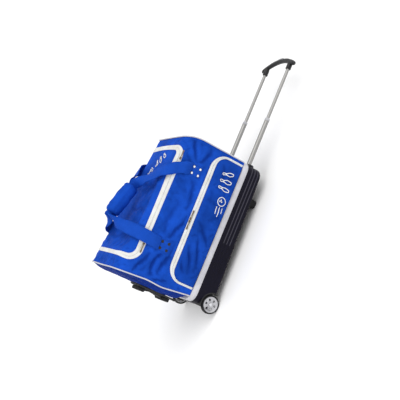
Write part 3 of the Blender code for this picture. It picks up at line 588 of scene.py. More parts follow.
def zip_line(level, count):
    """(s, t) pairs along the line at a distance from the lid zip, from the far wheel-end corner of the
    lid round its near side to the far handle-end corner."""
    v0 = np.interp(T_HINGE, T_KNOTS, RUN_KNOTS)
    ray = np.linspace(0, math.pi, 721)
    low, high = np.zeros_like(ray), np.full_like(ray, 0.45)

    def at(length):
        s = 0.49 - np.cos(ray) * length / UPPER_RUN_X
        t = np.interp(v0 - np.sin(ray) * length, RUN_KNOTS, T_KNOTS)
        return s, t

    cross_run = np.clip((np.abs(np.cos(ray)) - 0.52) / 0.20, 0, 1)
    levels = level * (1 - (1 - TAPE_CROSS_SHARE) * cross_run)
    for _ in range(40):
        mid = (low + high) / 2
        p = upper_points(*at(mid))
        inside = zip_distance(p[:, 0], p[:, 2]) < levels
        low, high = np.where(inside, mid, low), np.where(inside, high, mid)
    s, t = at(low)
    p = upper_points(s, t)
    run = np.concatenate([[0], np.cumsum(np.linalg.norm(np.diff(p, axis=0), axis=1))])
    where = np.linspace(0, run[-1], count)
    return np.interp(where, run, s), np.interp(where, run, t), run[-1]


# ---------------------------------------------------------------- cloth
def grid_faces(rows, columns):
    index = np.arange(rows * columns).reshape(rows, columns)
    return np.stack([index[:-1, :-1], index[:-1, 1:], index[1:, 1:], index[1:, :-1]], -1).reshape(-1, 4)


def relax_cloth(points, faces, held, pressure, growth, cap, frames=22, bending=0.6, tension=12.0):
    """Let a slightly oversize sheet buckle between the places where it is sewn down, and return how far
    each of its points moved, never more than cap."""
    mesh = bpy.data.meshes.new("cloth_run")
    mesh.from_pydata(points.tolist(), [], faces.tolist())
    obj = bpy.data.objects.new("cloth_run", mesh)
    bpy.context.scene.collection.objects.link(obj)
    group = obj.vertex_groups.new(name="held")
    for weight in np.unique(np.round(held, 2)):
        members = np.nonzero(np.round(held, 2) == weight)[0].tolist()
        group.add(members, float(weight), "REPLACE")
    cloth = obj.modifiers.new("cloth", "CLOTH")
    settings = cloth.settings
    settings.quality = 5
    settings.mass = 0.25
    settings.tension_stiffness = tension
    settings.compression_stiffness = tension
    settings.shear_stiffness = tension * 0.5
    settings.bending_stiffness = bending
    settings.air_damping = 4.0
    settings.vertex_group_mass = "held"
    settings.shrink_min = -growth
    settings.use_pressure = True
    settings.uniform_pressure_force = pressure
    settings.effector_weights.gravity = 0.0
    cloth.collision_settings.use_collision = False
    cloth.point_cache.frame_start = 1
    cloth.point_cache.frame_end = frames
    scene = bpy.context.scene
    for number in range(1, frames + 1):
        scene.frame_set(number)
    shown = obj.evaluated_get(bpy.context.evaluated_depsgraph_get())
    moved = np.array([tuple(v.co) for v in shown.data.vertices]) - points
    scene.frame_set(1)
    bpy.data.objects.remove(obj)
    length = np.linalg.norm(moved, axis=1, keepdims=True)
    return moved * np.tanh(length / cap) * cap / np.maximum(length, 1e-9)


FOLD_WIDTH = 1.25
FOLD_DEPTH = 1.45
# Reach and strength of the mask for painted shade in the fold valleys.
VALLEY_REACH = 2
VALLEY_STRENGTH = 300.0


def crease(a, b, path, width, depth):
    """Height of a fold that runs along a path in a flat (a, b) plane: a valley between two soft ridges."""
    p = np.stack([a, b], -1)
    best = np.full(a.shape, 1e9)
    share = np.zeros(a.shape)
    pts = smooth_path(path, 24)
    for k, (c, d) in enumerate(zip(pts, pts[1:])):
        along = d - c
        u = np.clip(((p - c) @ along) / (along @ along), 0, 1)
        gap = np.linalg.norm(p - c - u[..., None] * along, axis=-1)
        nearer = gap < best
        best = np.where(nearer, gap, best)
        share = np.where(nearer, (k + u) / (len(pts) - 1), share)
    fade = np.sin(np.clip(share, 0, 1) * math.pi) ** 0.7
    r = best / (width * FOLD_WIDTH)
    return depth * FOLD_DEPTH * fade * (0.75 * r * r - 1.0) * np.exp(-r * r)


def soft_noise(p, scale, seed):
    """Smooth repeatable noise between about -1 and 1: a few turned sine waves."""
    rng = np.random.default_rng(seed)
    total = np.zeros(p.shape[:-1])
    for octave in range(4):
        for _ in range(4):
            direction = rng.normal(size=3)
            direction /= np.linalg.norm(direction)
            total += np.sin((p @ direction) * scale * 2 ** octave + rng.uniform(0, math.tau)) / (2 ** octave * 2.6)
    return total


def fold_shade_mask(points, normals, shape):
    """How deep each grid point sits in a fold, from 0 to 1: the mask for painted shade in the fold valleys."""
    h = (points * 1.0).reshape(*shape, 3)
    n = normals.reshape(*shape, 3)
    reach = VALLEY_REACH
    pad = np.pad(h, ((reach, reach), (reach, reach), (0, 0)), mode="edge")
    mean = (pad[2 * reach:, reach:-reach] + pad[:-2 * reach, reach:-reach]
            + pad[reach:-reach, 2 * reach:] + pad[reach:-reach, :-2 * reach]) / 4
    hollow = ((mean - h) * n).sum(-1)
    hollow[:reach] = 0
    hollow[-reach:] = 0
    hollow[:, :reach] = 0
    hollow[:, -reach:] = 0
    return np.clip(hollow * VALLEY_STRENGTH, 0, 1).reshape(-1)


# ---------------------------------------------------------------- fabric upper
def split_values():
    """Grid positions along and round the upper, closer together over the shoulders."""
    s = np.linspace(0, 1, 91)
    wall = np.linspace(0, T_WALL, 41)
    arc = np.linspace(T_WALL, T_WALL + T_ARC, 9)[1:]
    top = np.linspace(T_WALL + T_ARC, 1 - T_WALL - T_ARC, 35)[1:]
    half = np.concatenate([wall, arc])
    return s, np.concatenate([half, top, (1 - half)[::-1][1:]])


NEAR_CREASES = (
    # (x, z) route, width, depth
    ([(-0.135, 0.262), (-0.160, 0.285), (-0.205, 0.300), (-0.250, 0.300)], 0.009, 0.0060),
    ([(-0.120, 0.256), (-0.165, 0.258), (-0.215, 0.268), (-0.255, 0.262)], 0.010, 0.0050),
    ([(-0.170, 0.325), (-0.200, 0.335), (-0.235, 0.352), (-0.262, 0.360)], 0.009, 0.0050),
    ([(-0.110, 0.283), (-0.070, 0.270), (-0.030, 0.254), (0.005, 0.246)], 0.010, 0.0055),
    ([(-0.105, 0.305), (-0.060, 0.312), (-0.010, 0.306), (0.040, 0.296)], 0.013, 0.0040),
    ([(0.125, 0.280), (0.085, 0.268), (0.045, 0.262), (0.010, 0.262)], 0.011, 0.0040),
    ([(0.180, 0.285), (0.205, 0.272), (0.232, 0.262), (0.255, 0.262)], 0.009, 0.0045),
    ([(0.185, 0.305), (0.210, 0.312), (0.235, 0.325), (0.255, 0.335)], 0.009, 0.0040),
    ([(-0.235, 0.205), (-0.245, 0.235), (-0.252, 0.262), (-0.262, 0.290)], 0.007, 0.0035),
)
LID_CREASES = (
    # (x, y) route, width, depth
    ([(-0.060, -0.100), (-0.040, -0.060), (-0.045, -0.010), (-0.030, 0.040)], 0.012, 0.0040),
    ([(0.030, -0.095), (0.055, -0.050), (0.050, 0.000), (0.070, 0.060)], 0.013, 0.0035),
    ([(-0.150, -0.085), (-0.140, -0.030), (-0.155, 0.020), (-0.150, 0.080)], 0.012, 0.0030),
    ([(0.150, -0.080), (0.140, -0.020), (0.155, 0.040)], 0.011, 0.0030),
)


def upper_cloth():
    """Drape the whole upper as one sheet, then part it along the lid's zip and hinge."""
    s_values, t_values = split_values()
    s, t = np.meshgrid(s_values, t_values, indexing="ij")
    shape = s.shape
    base = upper_points(s, t)
    normal = upper_normals(s, t)
    x, y, z = base[..., 0], base[..., 1], base[..., 2]
    distance = zip_distance(x, z)

    near_zip = np.clip((0.026 - np.abs(distance)) / 0.009, 0, 1) * (y < LID_HINGE_Y + 0.01)
    edge = np.minimum.reduce([s, 1 - s]) * UPPER_RUN_X
    hem = np.minimum(t, 1 - t) * WALL_RUN / T_WALL
    held = np.maximum(near_zip, np.clip((0.010 - edge) / 0.006, 0, 1))
    held = np.maximum(held, np.clip((0.008 - hem) / 0.006, 0, 1))
    for place in ANCHORS.values():
        off = np.maximum(np.abs(x - place) - STRAP_W / 2, np.abs(z - ANCHOR_Z) - 0.024)
        held = np.maximum(held, np.clip((0.010 - off) / 0.008, 0, 1))
    behind_pocket = (y < 0) & (z < POCKET_TOP + 0.016) & (x > POCKET_X[0] - 0.014) & (x < POCKET_X[1] + 0.014)
    held = np.where(behind_pocket, 1.0, held)

    free = 1.0 - held
    lift = soft_noise(base, 26.0, 3) * 0.0022 + soft_noise(base, 60.0, 5) * 0.0010
    for route, width, depth in NEAR_CREASES:
        lift += np.where(y < -0.09, crease(x, z, route, width, depth), 0)
        mirrored = [(-px * 0.9 + 0.01, pz) for px, pz in route]
        lift += np.where(y > 0.09, crease(x, z, mirrored, width, depth * 0.55), 0)
    for route, width, depth in LID_CREASES:
        lift += np.where(z > 0.36, crease(x, y, route, width, depth), 0)
    start = base + normal * (lift * free)[..., None]
    faces = grid_faces(*shape)
    moved = relax_cloth(start.reshape(-1, 3), faces, held.reshape(-1), 1.5, 0.022, 0.008)
    offset = (start - base).reshape(-1, 3) + moved

    lid_side = np.maximum(distance, y - LID_HINGE_Y)
    centre = (lid_side[:-1, :-1] + lid_side[1:, :-1] + lid_side[:-1, 1:] + lid_side[1:, 1:]) / 4
    in_lid = (centre < 0).reshape(-1)

    # Points shared by lid and body slide onto the parting line.
    used = [np.zeros(s.size, bool), np.zeros(s.size, bool)]
    used[0][faces[in_lid].reshape(-1)] = True
    used[1][faces[~in_lid].reshape(-1)] = True
    s_flat, t_flat = s.reshape(-1).copy(), t.reshape(-1).copy()

    def parting(si, ti):
        p = upper_points(si, ti)
        return max(float(zip_distance(p[0], p[2])), float(p[1] - LID_HINGE_Y))

    for i in np.nonzero(used[0] & used[1])[0]:
        here = parting(s_flat[i], t_flat[i])
        options = []
        for ds, dt in ((1, 0), (-1, 0), (0, 1), (0, -1)):
            step_s, step_t = ds * 0.012, dt * 0.012
            if parting(s_flat[i] + step_s, t_flat[i] + step_t) * here > 0:
                continue
            low, high = 0.0, 1.0
            for _ in range(20):
                mid = (low + high) / 2
                if parting(s_flat[i] + step_s * mid, t_flat[i] + step_t * mid) * here > 0:
                    low = mid
                else:
                    high = mid
            a = upper_points(s_flat[i], t_flat[i])
            b = upper_points(s_flat[i] + step_s * low, t_flat[i] + step_t * low)
            options.append((float(np.linalg.norm(a - b)), s_flat[i] + step_s * low, t_flat[i] + step_t * low))
        if options:
            _, s_flat[i], t_flat[i] = min(options)
    final = upper_points(s_flat, t_flat) + offset
    # Mask for painted shade in the fold valleys.
    deep = fold_shade_mask(final, normal.reshape(-1, 3), shape)
    uv = np.stack([s_flat * UPPER_RUN_X, np.interp(t_flat, T_KNOTS, RUN_KNOTS)], -1)
    order = faces[:, ::-1] if np.cross(final[faces[0][1]] - final[faces[0][0]],
                                       final[faces[0][3]] - final[faces[0][0]]) @ normal[0, 0] < 0 else faces

    for name, body, chosen, node in (("body_fabric", "shell", ~in_lid, "bag_body"),
                                     ("lid_fabric", "lid", in_lid, "lid_panel")):
        part = order[chosen]
        keep = np.unique(part)
        renumber = np.full(len(final), -1)
        renumber[keep] = np.arange(len(keep))
        shape_out = Shape()
        shape_out.add(final[keep], renumber[part].tolist(), 0, [tuple(p) for p in uv[keep]])
        cloth = shape_out.build(name, [FABRIC, LINING], body, node, "fabric", sheet=True, levels=1, thick=0.0016,
                                values=deep[keep])
    surface = BVHTree.FromPolygons([Vector(p) for p in final], faces.tolist())
    embroidery("lid_embroidery", "lid", surface, Vector((0.136, -0.008, 0.388)), Vector((0.75, -0.66, 0)),
               Vector((0.66, 0.75, 0)), 0.85, Vector((0, 0, 1)))


PANEL_PLANE_X = plate_high.x + 0.0006         # the wheel-end panel swells to the stand plate
HANDLE_PANEL_PUFF = 0.009
PANEL_ROLL = 0.065                            # width of the panel's rounded border


def end_panel(name, share, sign):
    """Puffed end panel, sewn to the upper along its piping and nearly flat in its middle."""
    columns, rows = 64, 64
    b, a = np.meshgrid(np.linspace(-1, 1, columns), np.linspace(0, 1, rows))
    top_line = crown_z(float(upper_points(share, 0.5)[0]))
    corner = SHOULDER_R / HALF_W
    over = np.maximum(np.abs(b) - (1 - corner), 0) / corner
    top = top_line - SHOULDER_R * (1 - np.sqrt(np.maximum(1 - over ** 2, 0)))
    z = BODY_BOTTOM + a * (top - BODY_BOTTOM)
    edge_x = wheel_end_x(z) if sign < 0 else handle_end_x(z)
    out = edge_x - PANEL_PLANE_X if sign < 0 else np.full_like(z, HANDLE_PANEL_PUFF)
    inward = np.minimum(HALF_W * (1 - np.abs(b)), top - z)
    dome = np.sin(np.clip(inward / PANEL_ROLL, 0, 1) * math.pi / 2)
    dome = dome * (0.25 + 0.75 * np.sin(np.clip((z - BODY_BOTTOM) / 0.035, 0, 1) * math.pi / 2))
    points = np.stack([edge_x, b * HALF_W, z], -1)
    fold = soft_noise(points, 30.0, 11 + sign) * 0.0020 + soft_noise(points, 70.0, 5 + sign) * 0.0008
    for k in (-1, 1):
        route = [(k * 0.105, 0.36), (k * 0.085, 0.30), (k * 0.095, 0.24), (k * 0.075, 0.17)]
        fold += crease(points[..., 1], points[..., 2], route, 0.010, 0.0045)
    points[..., 0] += sign * (out * dome + fold * np.clip(inward / 0.02, 0, 1))
    if sign < 0:
        behind_plate = (np.abs(points[..., 1]) < plate_high.y + 0.004) & (z < plate_high.z + 0.004)
        points[..., 0] = np.where(behind_plate, np.maximum(points[..., 0], PANEL_PLANE_X), points[..., 0])
    faces = grid_faces(rows, columns)
    normal = np.zeros_like(points)
    normal[..., 0] = sign
    flat = points.reshape(-1, 3)
    # Mask for painted shade in the fold valleys.
    deep = fold_shade_mask(flat, normal.reshape(-1, 3), a.shape)
    one = np.cross(flat[faces[0][1]] - flat[faces[0][0]], flat[faces[0][3]] - flat[faces[0][0]])
    order = faces if one[0] * sign > 0 else faces[:, ::-1]
    shape = Shape().add(flat, order.tolist(), 0, [(p[1], p[2]) for p in flat])
    # End panels take the darker navy that partly holds painted shade.
    cloth = shape.build(name, [END_NAVY_AND_SHADE, LINING], "shell", "bag_body", "fabric", sheet=True, levels=1,
                        thick=0.0016, values=deep)


def piping(name, share, node):
    """Round welt cord, open at the hem."""
    t = np.linspace(0.004, 0.996, 150)
    s = np.full_like(t, share)
    path = upper_points(s, t) + upper_normals(s, t) * 0.0020
    shape = Shape().tube(path, 0.0023, 10)
    shape.build(name, [WELT], "shell", node, "white_trim")


def stitch_row(shape, path, normal, length=0.0024, pitch=0.0038, radius=0.00032, slot=0):
    """A row of short raised stitches along a path."""
    total = float(np.linalg.norm(np.diff(path, axis=0), axis=1).sum())
    count = max(2, int(total / pitch))
    fine = resample(np.concatenate([path, normal], axis=1), count * 2 + 1)
    for k in range(count):
        a, b = fine[2 * k], fine[2 * k + 1]
        start, end = a[:3], b[:3]
        reach = (end - start) / max(np.linalg.norm(end - start), 1e-9) * (length / 2)
        mid = (start + end) / 2 + a[3:] * radius * 0.5
        shape.tube([mid - reach, mid - reach * 0.6 + a[3:] * radius * 0.5, mid + reach * 0.6 + a[3:] * radius * 0.5,
                    mid + reach], [radius * 0.4, radius, radius, radius * 0.4], 5, slot)


TAPE_PROFILE = ((0.035, 0.0013), (0.20, 0.0017), (0.42, 0.0014), (0.62, 0.0015), (0.85, 0.0014), (0.96, 0.0010),
                (1.0, 0.0004))              # share of the half width, height above the fabric


def lid_zip():
    """Both tapes of the lid's U-shaped zip, with their teeth and stitching."""
    count = 300
    for name, body, node, side in (("lid_zip_tape_on_body", "shell", "lid_tape_body_side", 1),
                                   ("lid_zip_tape_on_lid", "lid", "lid_tape_lid_side", -1)):
        rows = []
        uvs = []
        for share, lift in TAPE_PROFILE:
            width = TAPE_W * share
            s, t, run = zip_line(side * width, count)
            p = upper_points(s, t) + upper_normals(s, t) * lift
            rows.append(p)
            uvs += [(run * k / count, side * width) for k in range(count)]
        shape = Shape().grid(rows, 0, uvs=uvs)
        tape = shape.build(name, [TAPE], body, node, "white_trim", sheet=True)
        face_out(tape)
        solid = tape.modifiers.new("tape_thickness", "SOLIDIFY")
        solid.thickness = 0.0008
        solid.offset = -1.0

        teeth = Shape()
        s, t, run = zip_line(side * 0.0010, int(1.12 / 0.0026))
        p = upper_points(s, t)
        n = upper_normals(s, t)
        along = np.gradient(p, axis=0)
        along /= np.linalg.norm(along, axis=1, keepdims=True)
        for k in range(len(p)):
            basis = Matrix((Vector(along[k]), Vector(np.cross(n[k], along[k])), Vector(n[k]))).transposed()
            spot = Vector(p[k] + n[k] * 0.0014)
            half = Vector((0.0009, 0.0009, 0.0006))
            teeth.block(spot - half, spot + half, 0.0003, 0, 1, basis)
        teeth.build(name + "_teeth", [TAPE], body, slot="white_trim")

        stitches = Shape()
        for width in (TAPE_W * 0.30, TAPE_W * 0.86):
            s, t, run = zip_line(side * width, 400)
            n = upper_normals(s, t)
            stitch_row(stitches, upper_points(s, t) + n * 0.0014, n)
        stitches.build(name + "_stitches", [THREAD], body, slot="white_trim")


def face_out(obj):
    """Turn a sheet so that its faces look away from the bag's middle."""
    bm = bmesh.new()
    bm.from_mesh(obj.data)
    middle = ORIGIN + Vector((0, 0, 0.25))
    score = sum((f.calc_center_median() - middle).dot(f.normal) * f.calc_area() for f in bm.faces)
    if score < 0:
        bmesh.ops.reverse_faces(bm, faces=bm.faces)
    bm.to_mesh(obj.data)
    bm.free()


# ---------------------------------------------------------------- pocket
def pocket_outline(offset, steps=12):
    """The pocket zip's line in X and Z, moved outward by offset, from hem to hem over the top."""
    low_x, high_x = POCKET_X[0] - offset * POCKET_END_SHARE, POCKET_X[1] + offset * POCKET_END_SHARE
    top = POCKET_TOP + offset
    corners = [(high_x, POCKET_BOTTOM), (high_x, top + 0.003), (low_x, top - 0.004), (low_x, POCKET_BOTTOM)]
    radius = POCKET_CORNER_R + offset
    return rounded(corners, [0, radius, radius, 0], steps, closed=False)


POCKET_CREASES = (
    ([(-0.070, 0.212), (-0.115, 0.196), (-0.160, 0.176), (-0.205, 0.170)], 0.011, 0.0070),
    ([(-0.045, 0.190), (-0.090, 0.172), (-0.140, 0.156), (-0.185, 0.150)], 0.010, 0.0055),
    ([(-0.150, 0.214), (-0.178, 0.200), (-0.200, 0.186)], 0.008, 0.0045),
    ([(0.000, 0.208), (-0.020, 0.186), (-0.055, 0.160), (-0.080, 0.138)], 0.012, 0.0045),
    ([(0.120, 0.205), (0.080, 0.196), (0.030, 0.198), (-0.010, 0.205)], 0.011, 0.0040),
    ([(0.225, 0.205), (0.195, 0.190), (0.160, 0.184), (0.120, 0.186)], 0.010, 0.0050),
    ([(0.220, 0.170), (0.180, 0.160), (0.140, 0.162), (0.090, 0.156)], 0.011, 0.0035),
)


STROKE = 0.0022
PIN_PROFILE = ((0.0, 0.0), (0.0, 0.26), (0.08, 0.40), (0.20, 0.54), (0.34, 0.60), (0.48, 0.50), (0.62, 0.28), (0.72, 0.22),
               (0.80, 0.30), (0.90, 0.34), (0.97, 0.22), (1.0, 0.0))   # height, half width over a quarter height


def embroidery(name, body, surface, place, right, up, size, out):
    """A plain satin-stitched motif, three skittles and a rolling ball, laid on a surface."""
    strokes = []
    for middle, height, lean in ((0.004, 0.040, 0.16), (0.030, 0.044, 0.0), (0.056, 0.040, -0.16)):
        side = [(middle + half * height / 4, height * (share - 0.5)) for share, half in PIN_PROFILE]
        other = [(2 * middle - a, b) for a, b in reversed(side)]
        outline = [(a + lean * b, b) for a, b in side + other[1:]]
        band = height * 0.16
        strokes += [outline, [(middle + lean * band - 0.002, band), (middle + lean * band + 0.002, band)]]
    for centre, radius in (((-0.040, -0.006), 0.0150), ((-0.040, 0.001), 0.0012), ((-0.035, -0.003), 0.0012),
                           ((-0.041, -0.006), 0.0012)):
        strokes.append([(centre[0] + radius * math.cos(w), centre[1] + radius * math.sin(w))
                        for w in (math.tau * k / 24 for k in range(25))])
    for k, length in enumerate((0.020, 0.034, 0.026)):
        level = -0.017 + 0.011 * k
        strokes.append([(-0.060 - length, level), (-0.060, level)])
    shape = Shape()
    for stroke in strokes:
        line = resample(stroke, max(6, len(stroke) * 3)) * size
        along = np.gradient(line, axis=0)
        along /= np.maximum(np.linalg.norm(along, axis=1, keepdims=True), 1e-9)
        rows = []
        for (a, b), (da, db) in zip(line, along):
            row = []
            for c in (-1.0, -0.6, 0.0, 0.6, 1.0):
                start = place + right * (a - db * c * STROKE / 2) + up * (b + da * c * STROKE / 2)
                start += out * (1.0 - start.dot(out))
                spot = surface.ray_cast(start, -out)[0]
                row.append((spot or place) + out * (EMBROIDERY_LIFT - 0.0006 * c * c))
            rows.append(row)
        shape.grid(rows)
    obj = shape.build(name, [THREAD], body, slot="white_trim", sheet=True)
    solid = obj.modifiers.new("thread_thickness", "SOLIDIFY")
    solid.thickness = 0.0006


EMBROIDERY_LIFT = 0.0014


def pocket():
    """Puffed pocket panel, both tapes of its zip, teeth and stitching."""
    columns, rows = 84, 24
    face = -HALF_W - 0.0024
    inner = -POCKET_TAPE_W
    line = np.array([tuple(p) for p in pocket_outline(inner, 24)])
    x_low, x_high = line[:, 0].min(), line[:, 0].max()
    share = (1 - np.cos(np.linspace(0, math.pi, columns))) / 2
    share = 0.35 * share + 0.65 * np.linspace(0, 1, columns)
    x_line = x_low + (x_high - x_low) * share
    upper = line[(line[:, 1] > POCKET_BOTTOM + 0.001)]
    order = np.argsort(upper[:, 0])
    top = np.interp(x_line, upper[order, 0], upper[order, 1])
    a, x = np.meshgrid(np.linspace(0, 1, rows), x_line, indexing="ij")
    z = POCKET_BOTTOM + 0.0004 + a * (top - POCKET_BOTTOM - 0.0004)
    to_side = np.minimum(x - x_low, x_high - x)
    to_top = top[None, :] - z
    reach = np.minimum(to_side * 1.0, to_top)
    hem = z - POCKET_BOTTOM
    gusset = 1 - np.exp(-np.maximum(reach, 0) / 0.010)
    bottom = 1 - 0.45 * np.exp(-hem / 0.012)
    depth = (panel_high.y - panel_low.y - 0.004) * gusset * bottom
    points = np.stack([x, face - depth, z], -1)
    lift = soft_noise(points, 28.0, 21) * 0.0016 + soft_noise(points, 64.0, 8) * 0.0006
    for route, width, deep in POCKET_CREASES:
        lift += crease(x, z, route, width, deep)
    points[..., 1] -= lift * gusset
    faces = grid_faces(rows, columns)
    flat = points.reshape(-1, 3)
    held = np.clip((0.008 - np.minimum(reach, hem)) / 0.006, 0, 1).reshape(-1)
    one = np.cross(flat[faces[0][1]] - flat[faces[0][0]], flat[faces[0][3]] - flat[faces[0][0]])
    order = faces if one[1] < 0 else faces[:, ::-1]
    moved = relax_cloth(flat, order, held, 1.0, 0.020, 0.004)
    flat = flat + moved
    flat[:, 1] = np.minimum(flat[:, 1], face + 0.0002)
    normal = np.tile(np.array([0.0, -1.0, 0.0]), (len(flat), 1))
    # Mask for painted shade in the fold valleys.
    deep = fold_shade_mask(flat, normal, a.shape)
    shape = Shape().add(flat, order.tolist(), 0, [(p[0], p[2] - p[1]) for p in flat])
    cloth = shape.build("pocket_fabric", [POCKET_SHADED_FABRIC, LINING], "pocket_flap", "pocket_panel", "fabric", sheet=True,
                        levels=1, thick=0.0014, values=deep)
    surface = BVHTree.FromPolygons([Vector(p) for p in flat], order.tolist())
    embroidery("pocket_embroidery", "pocket_flap", surface, Vector((0.134, -0.150, 0.168)), Vector((0.996, 0, 0.09)),
               Vector((-0.09, 0, 0.996)), 1.05, Vector((0, -1, 0)))

    count = 260
    out = np.array([0.0, -1.0, 0.0])
    for name, body, node, side in (("pocket_zip_tape_on_body", "shell", "pocket_tape_body_side", 1),
                                   ("pocket_zip_tape_on_pocket", "pocket_flap", "pocket_tape_flap_side", -1)):
        rows_out = []
        uvs = []
        for share, lift in TAPE_PROFILE:
            width = POCKET_TAPE_W * share
            flat_line = resample(pocket_outline(side * width), count)
            rows_out.append([(p[0], -HALF_W - 0.0012 - lift, p[1]) for p in flat_line])
            uvs += [(0.75 * k / count, side * width) for k in range(count)]
        tape = Shape().grid(rows_out, 0, uvs=uvs).build(name, [TAPE], body, node, "white_trim", sheet=True)
        face_out(tape)
        solid = tape.modifiers.new("tape_thickness", "SOLIDIFY")
        solid.thickness = 0.0008
        solid.offset = -1.0
        teeth = Shape()
        line = resample(pocket_outline(side * 0.0011), 290)
        along = np.gradient(line, axis=0)
        for p, d in zip(line, along):
            turn = Matrix.Rotation(-math.atan2(d[1], d[0]), 3, "Y")
            spot = Vector((p[0], -HALF_W - 0.0026, p[1]))
            half = Vector((0.0009, 0.0006, 0.0009))
            teeth.block(spot - half, spot + half, 0.0003, 0, 1, turn)
        teeth.build(name + "_teeth", [TAPE], body, slot="white_trim")
        stitches = Shape()
        for width in (POCKET_TAPE_W * 0.30, POCKET_TAPE_W * 0.86):
            line = resample(pocket_outline(side * width), 300)
            path = np.stack([line[:, 0], np.full(300, -HALF_W - 0.0027), line[:, 1]], -1)
            stitch_row(stitches, path, np.tile(out, (300, 1)))
        stitches.build(name + "_stitches", [THREAD], body, slot="white_trim")


# ---------------------------------------------------------------- zip sliders
def slider(end, toward):
    """Cast slider with a waisted body, a bail and a ribbed puller with an eye."""
    low, high = bag_box(end + "_slider")
    mid = (low + high) / 2
    shape = Shape()
    face = high.y
    wide = (high.z - low.z) / 2
    shape.block((low.x, face - 0.0013, mid.z - wide), (high.x, face, mid.z + wide), 0.0005)
    shape.block((low.x + 0.0006, face - 0.0026, mid.z - wide * 0.72), (high.x - 0.0006, face - 0.0011, mid.z + wide * 0.72), 0.0005)
    bail = [(mid.x - toward * 0.0030, face - 0.0024, mid.z), (mid.x - toward * 0.0015, face - 0.0034, mid.z),
            (mid.x + toward * 0.0020, face - 0.0036, mid.z), (mid.x + toward * 0.0040, face - 0.0024, mid.z)]
    shape.tube(smooth_path(bail, 14), 0.0007, 8)
    shape.build(end + "_slider_body", [BRONZE], end + "_slider", end + "_slider", "bronze")

    low, high = bag_box(end + "_puller")
    mid = (low + high) / 2
    near = low.x if toward > 0 else high.x
    tip = high.x if toward > 0 else low.x
    puller = Shape()
    ring = [(near + toward * (0.0024 + 0.0024 * math.cos(a)), mid.y, mid.z + 0.0021 * math.sin(a))
            for a in (math.tau * k / 20 for k in range(20))]
    puller.tube(ring, 0.00065, 8, closed=True)
    outline = []
    for share, half in ((0.17, 0.0012), (0.22, 0.0020), (0.34, 0.0016), (0.80, 0.0026), (0.95, 0.0025), (1.0, 0.0018)):
        x = near + (tip - near) * share
        thick = 0.0009 if share < 0.99 else 0.0006
        outline.append([(x, mid.y - thick, mid.z - half), (x, mid.y - thick, mid.z + half),
                        (x, mid.y + thick, mid.z + half), (x, mid.y + thick, mid.z - half)])
    puller.closed_loft(outline)
    for k in range(5):
        x = near + (tip - near) * (0.50 + 0.08 * k)
        puller.block((x - 0.0004, mid.y - 0.0013, mid.z - 0.0016), (x + 0.0004, mid.y - 0.0008, mid.z + 0.0016), 0.0002, 0, 1)
    puller.build(end + "_puller_tab", [BRONZE], end + "_puller", end + "_puller", "bronze")


# ---------------------------------------------------------------- carry loops
def strap_stations():
    """Centre, width direction and half width along the near loop, as the CAD loop runs."""
    across = Vector((1, 0, 0))
    half = STRAP_W / 2
    inner = Vector((0, -0.0065, 0))
    upright = Vector((0.27, 0, 0.96))
    low, high = GRIP_AXIS[1], GRIP_AXIS[0]
    return [
        (Vector((0.152, -0.1392, 0.3085)), across, half),
        (Vector((0.146, -0.1418, 0.334)), across, half),
        (Vector((0.132, -0.1448, 0.358)), across, half),
        (Vector((0.121, -0.1435, 0.376)), Vector((0.98, 0.05, 0.12)), half),
        (Vector((0.111, -0.1330, 0.391)), Vector((0.95, 0.25, 0.05)), half),
        (Vector((0.099, -0.1150, 0.402)), Vector((0.85, 0.50, 0.0)), half),
        (Vector((0.080, -0.0920, 0.411)), Vector((0.80, 0.60, -0.05)), half * 0.98),
        (Vector((0.062, -0.0640, 0.421)), Vector((0.75, 0.62, -0.1)), half * 0.90),
        (Vector((0.046, -0.0300, 0.430)), Vector((0.55, 0.45, 0.62)), half * 0.82),
        (low + Vector((0.008, 0, -0.002)) + inner, upright, half * 0.78),
        (low * 0.8 + high * 0.2 + inner, upright, half * 0.38),
        (low * 0.2 + high * 0.8 + inner, upright, half * 0.38),
        (high + Vector((-0.008, 0, 0.002)) + inner, upright, half * 0.78),
        (Vector((-0.1150, -0.0300, 0.458)), Vector((0.55, -0.45, 0.62)), half * 0.82),
        (Vector((-0.1220, -0.0650, 0.444)), Vector((0.92, -0.30, -0.1)), half * 0.90),
        (Vector((-0.1240, -0.1000, 0.430)), Vector((0.97, -0.1, -0.05)), half * 0.98),
        (Vector((-0.1270, -0.1260, 0.416)), across, half),
        (Vector((-0.1285, -0.1405, 0.396)), across, half),
        (Vector((-0.1295, -0.1448, 0.374)), across, half),
        (Vector((-0.1300, -0.1443, 0.352)), across, half),
        (Vector((-0.1320, -0.1418, 0.332)), across, half),
        (Vector((-0.134, -0.1392, 0.3085)), across, half),
    ]


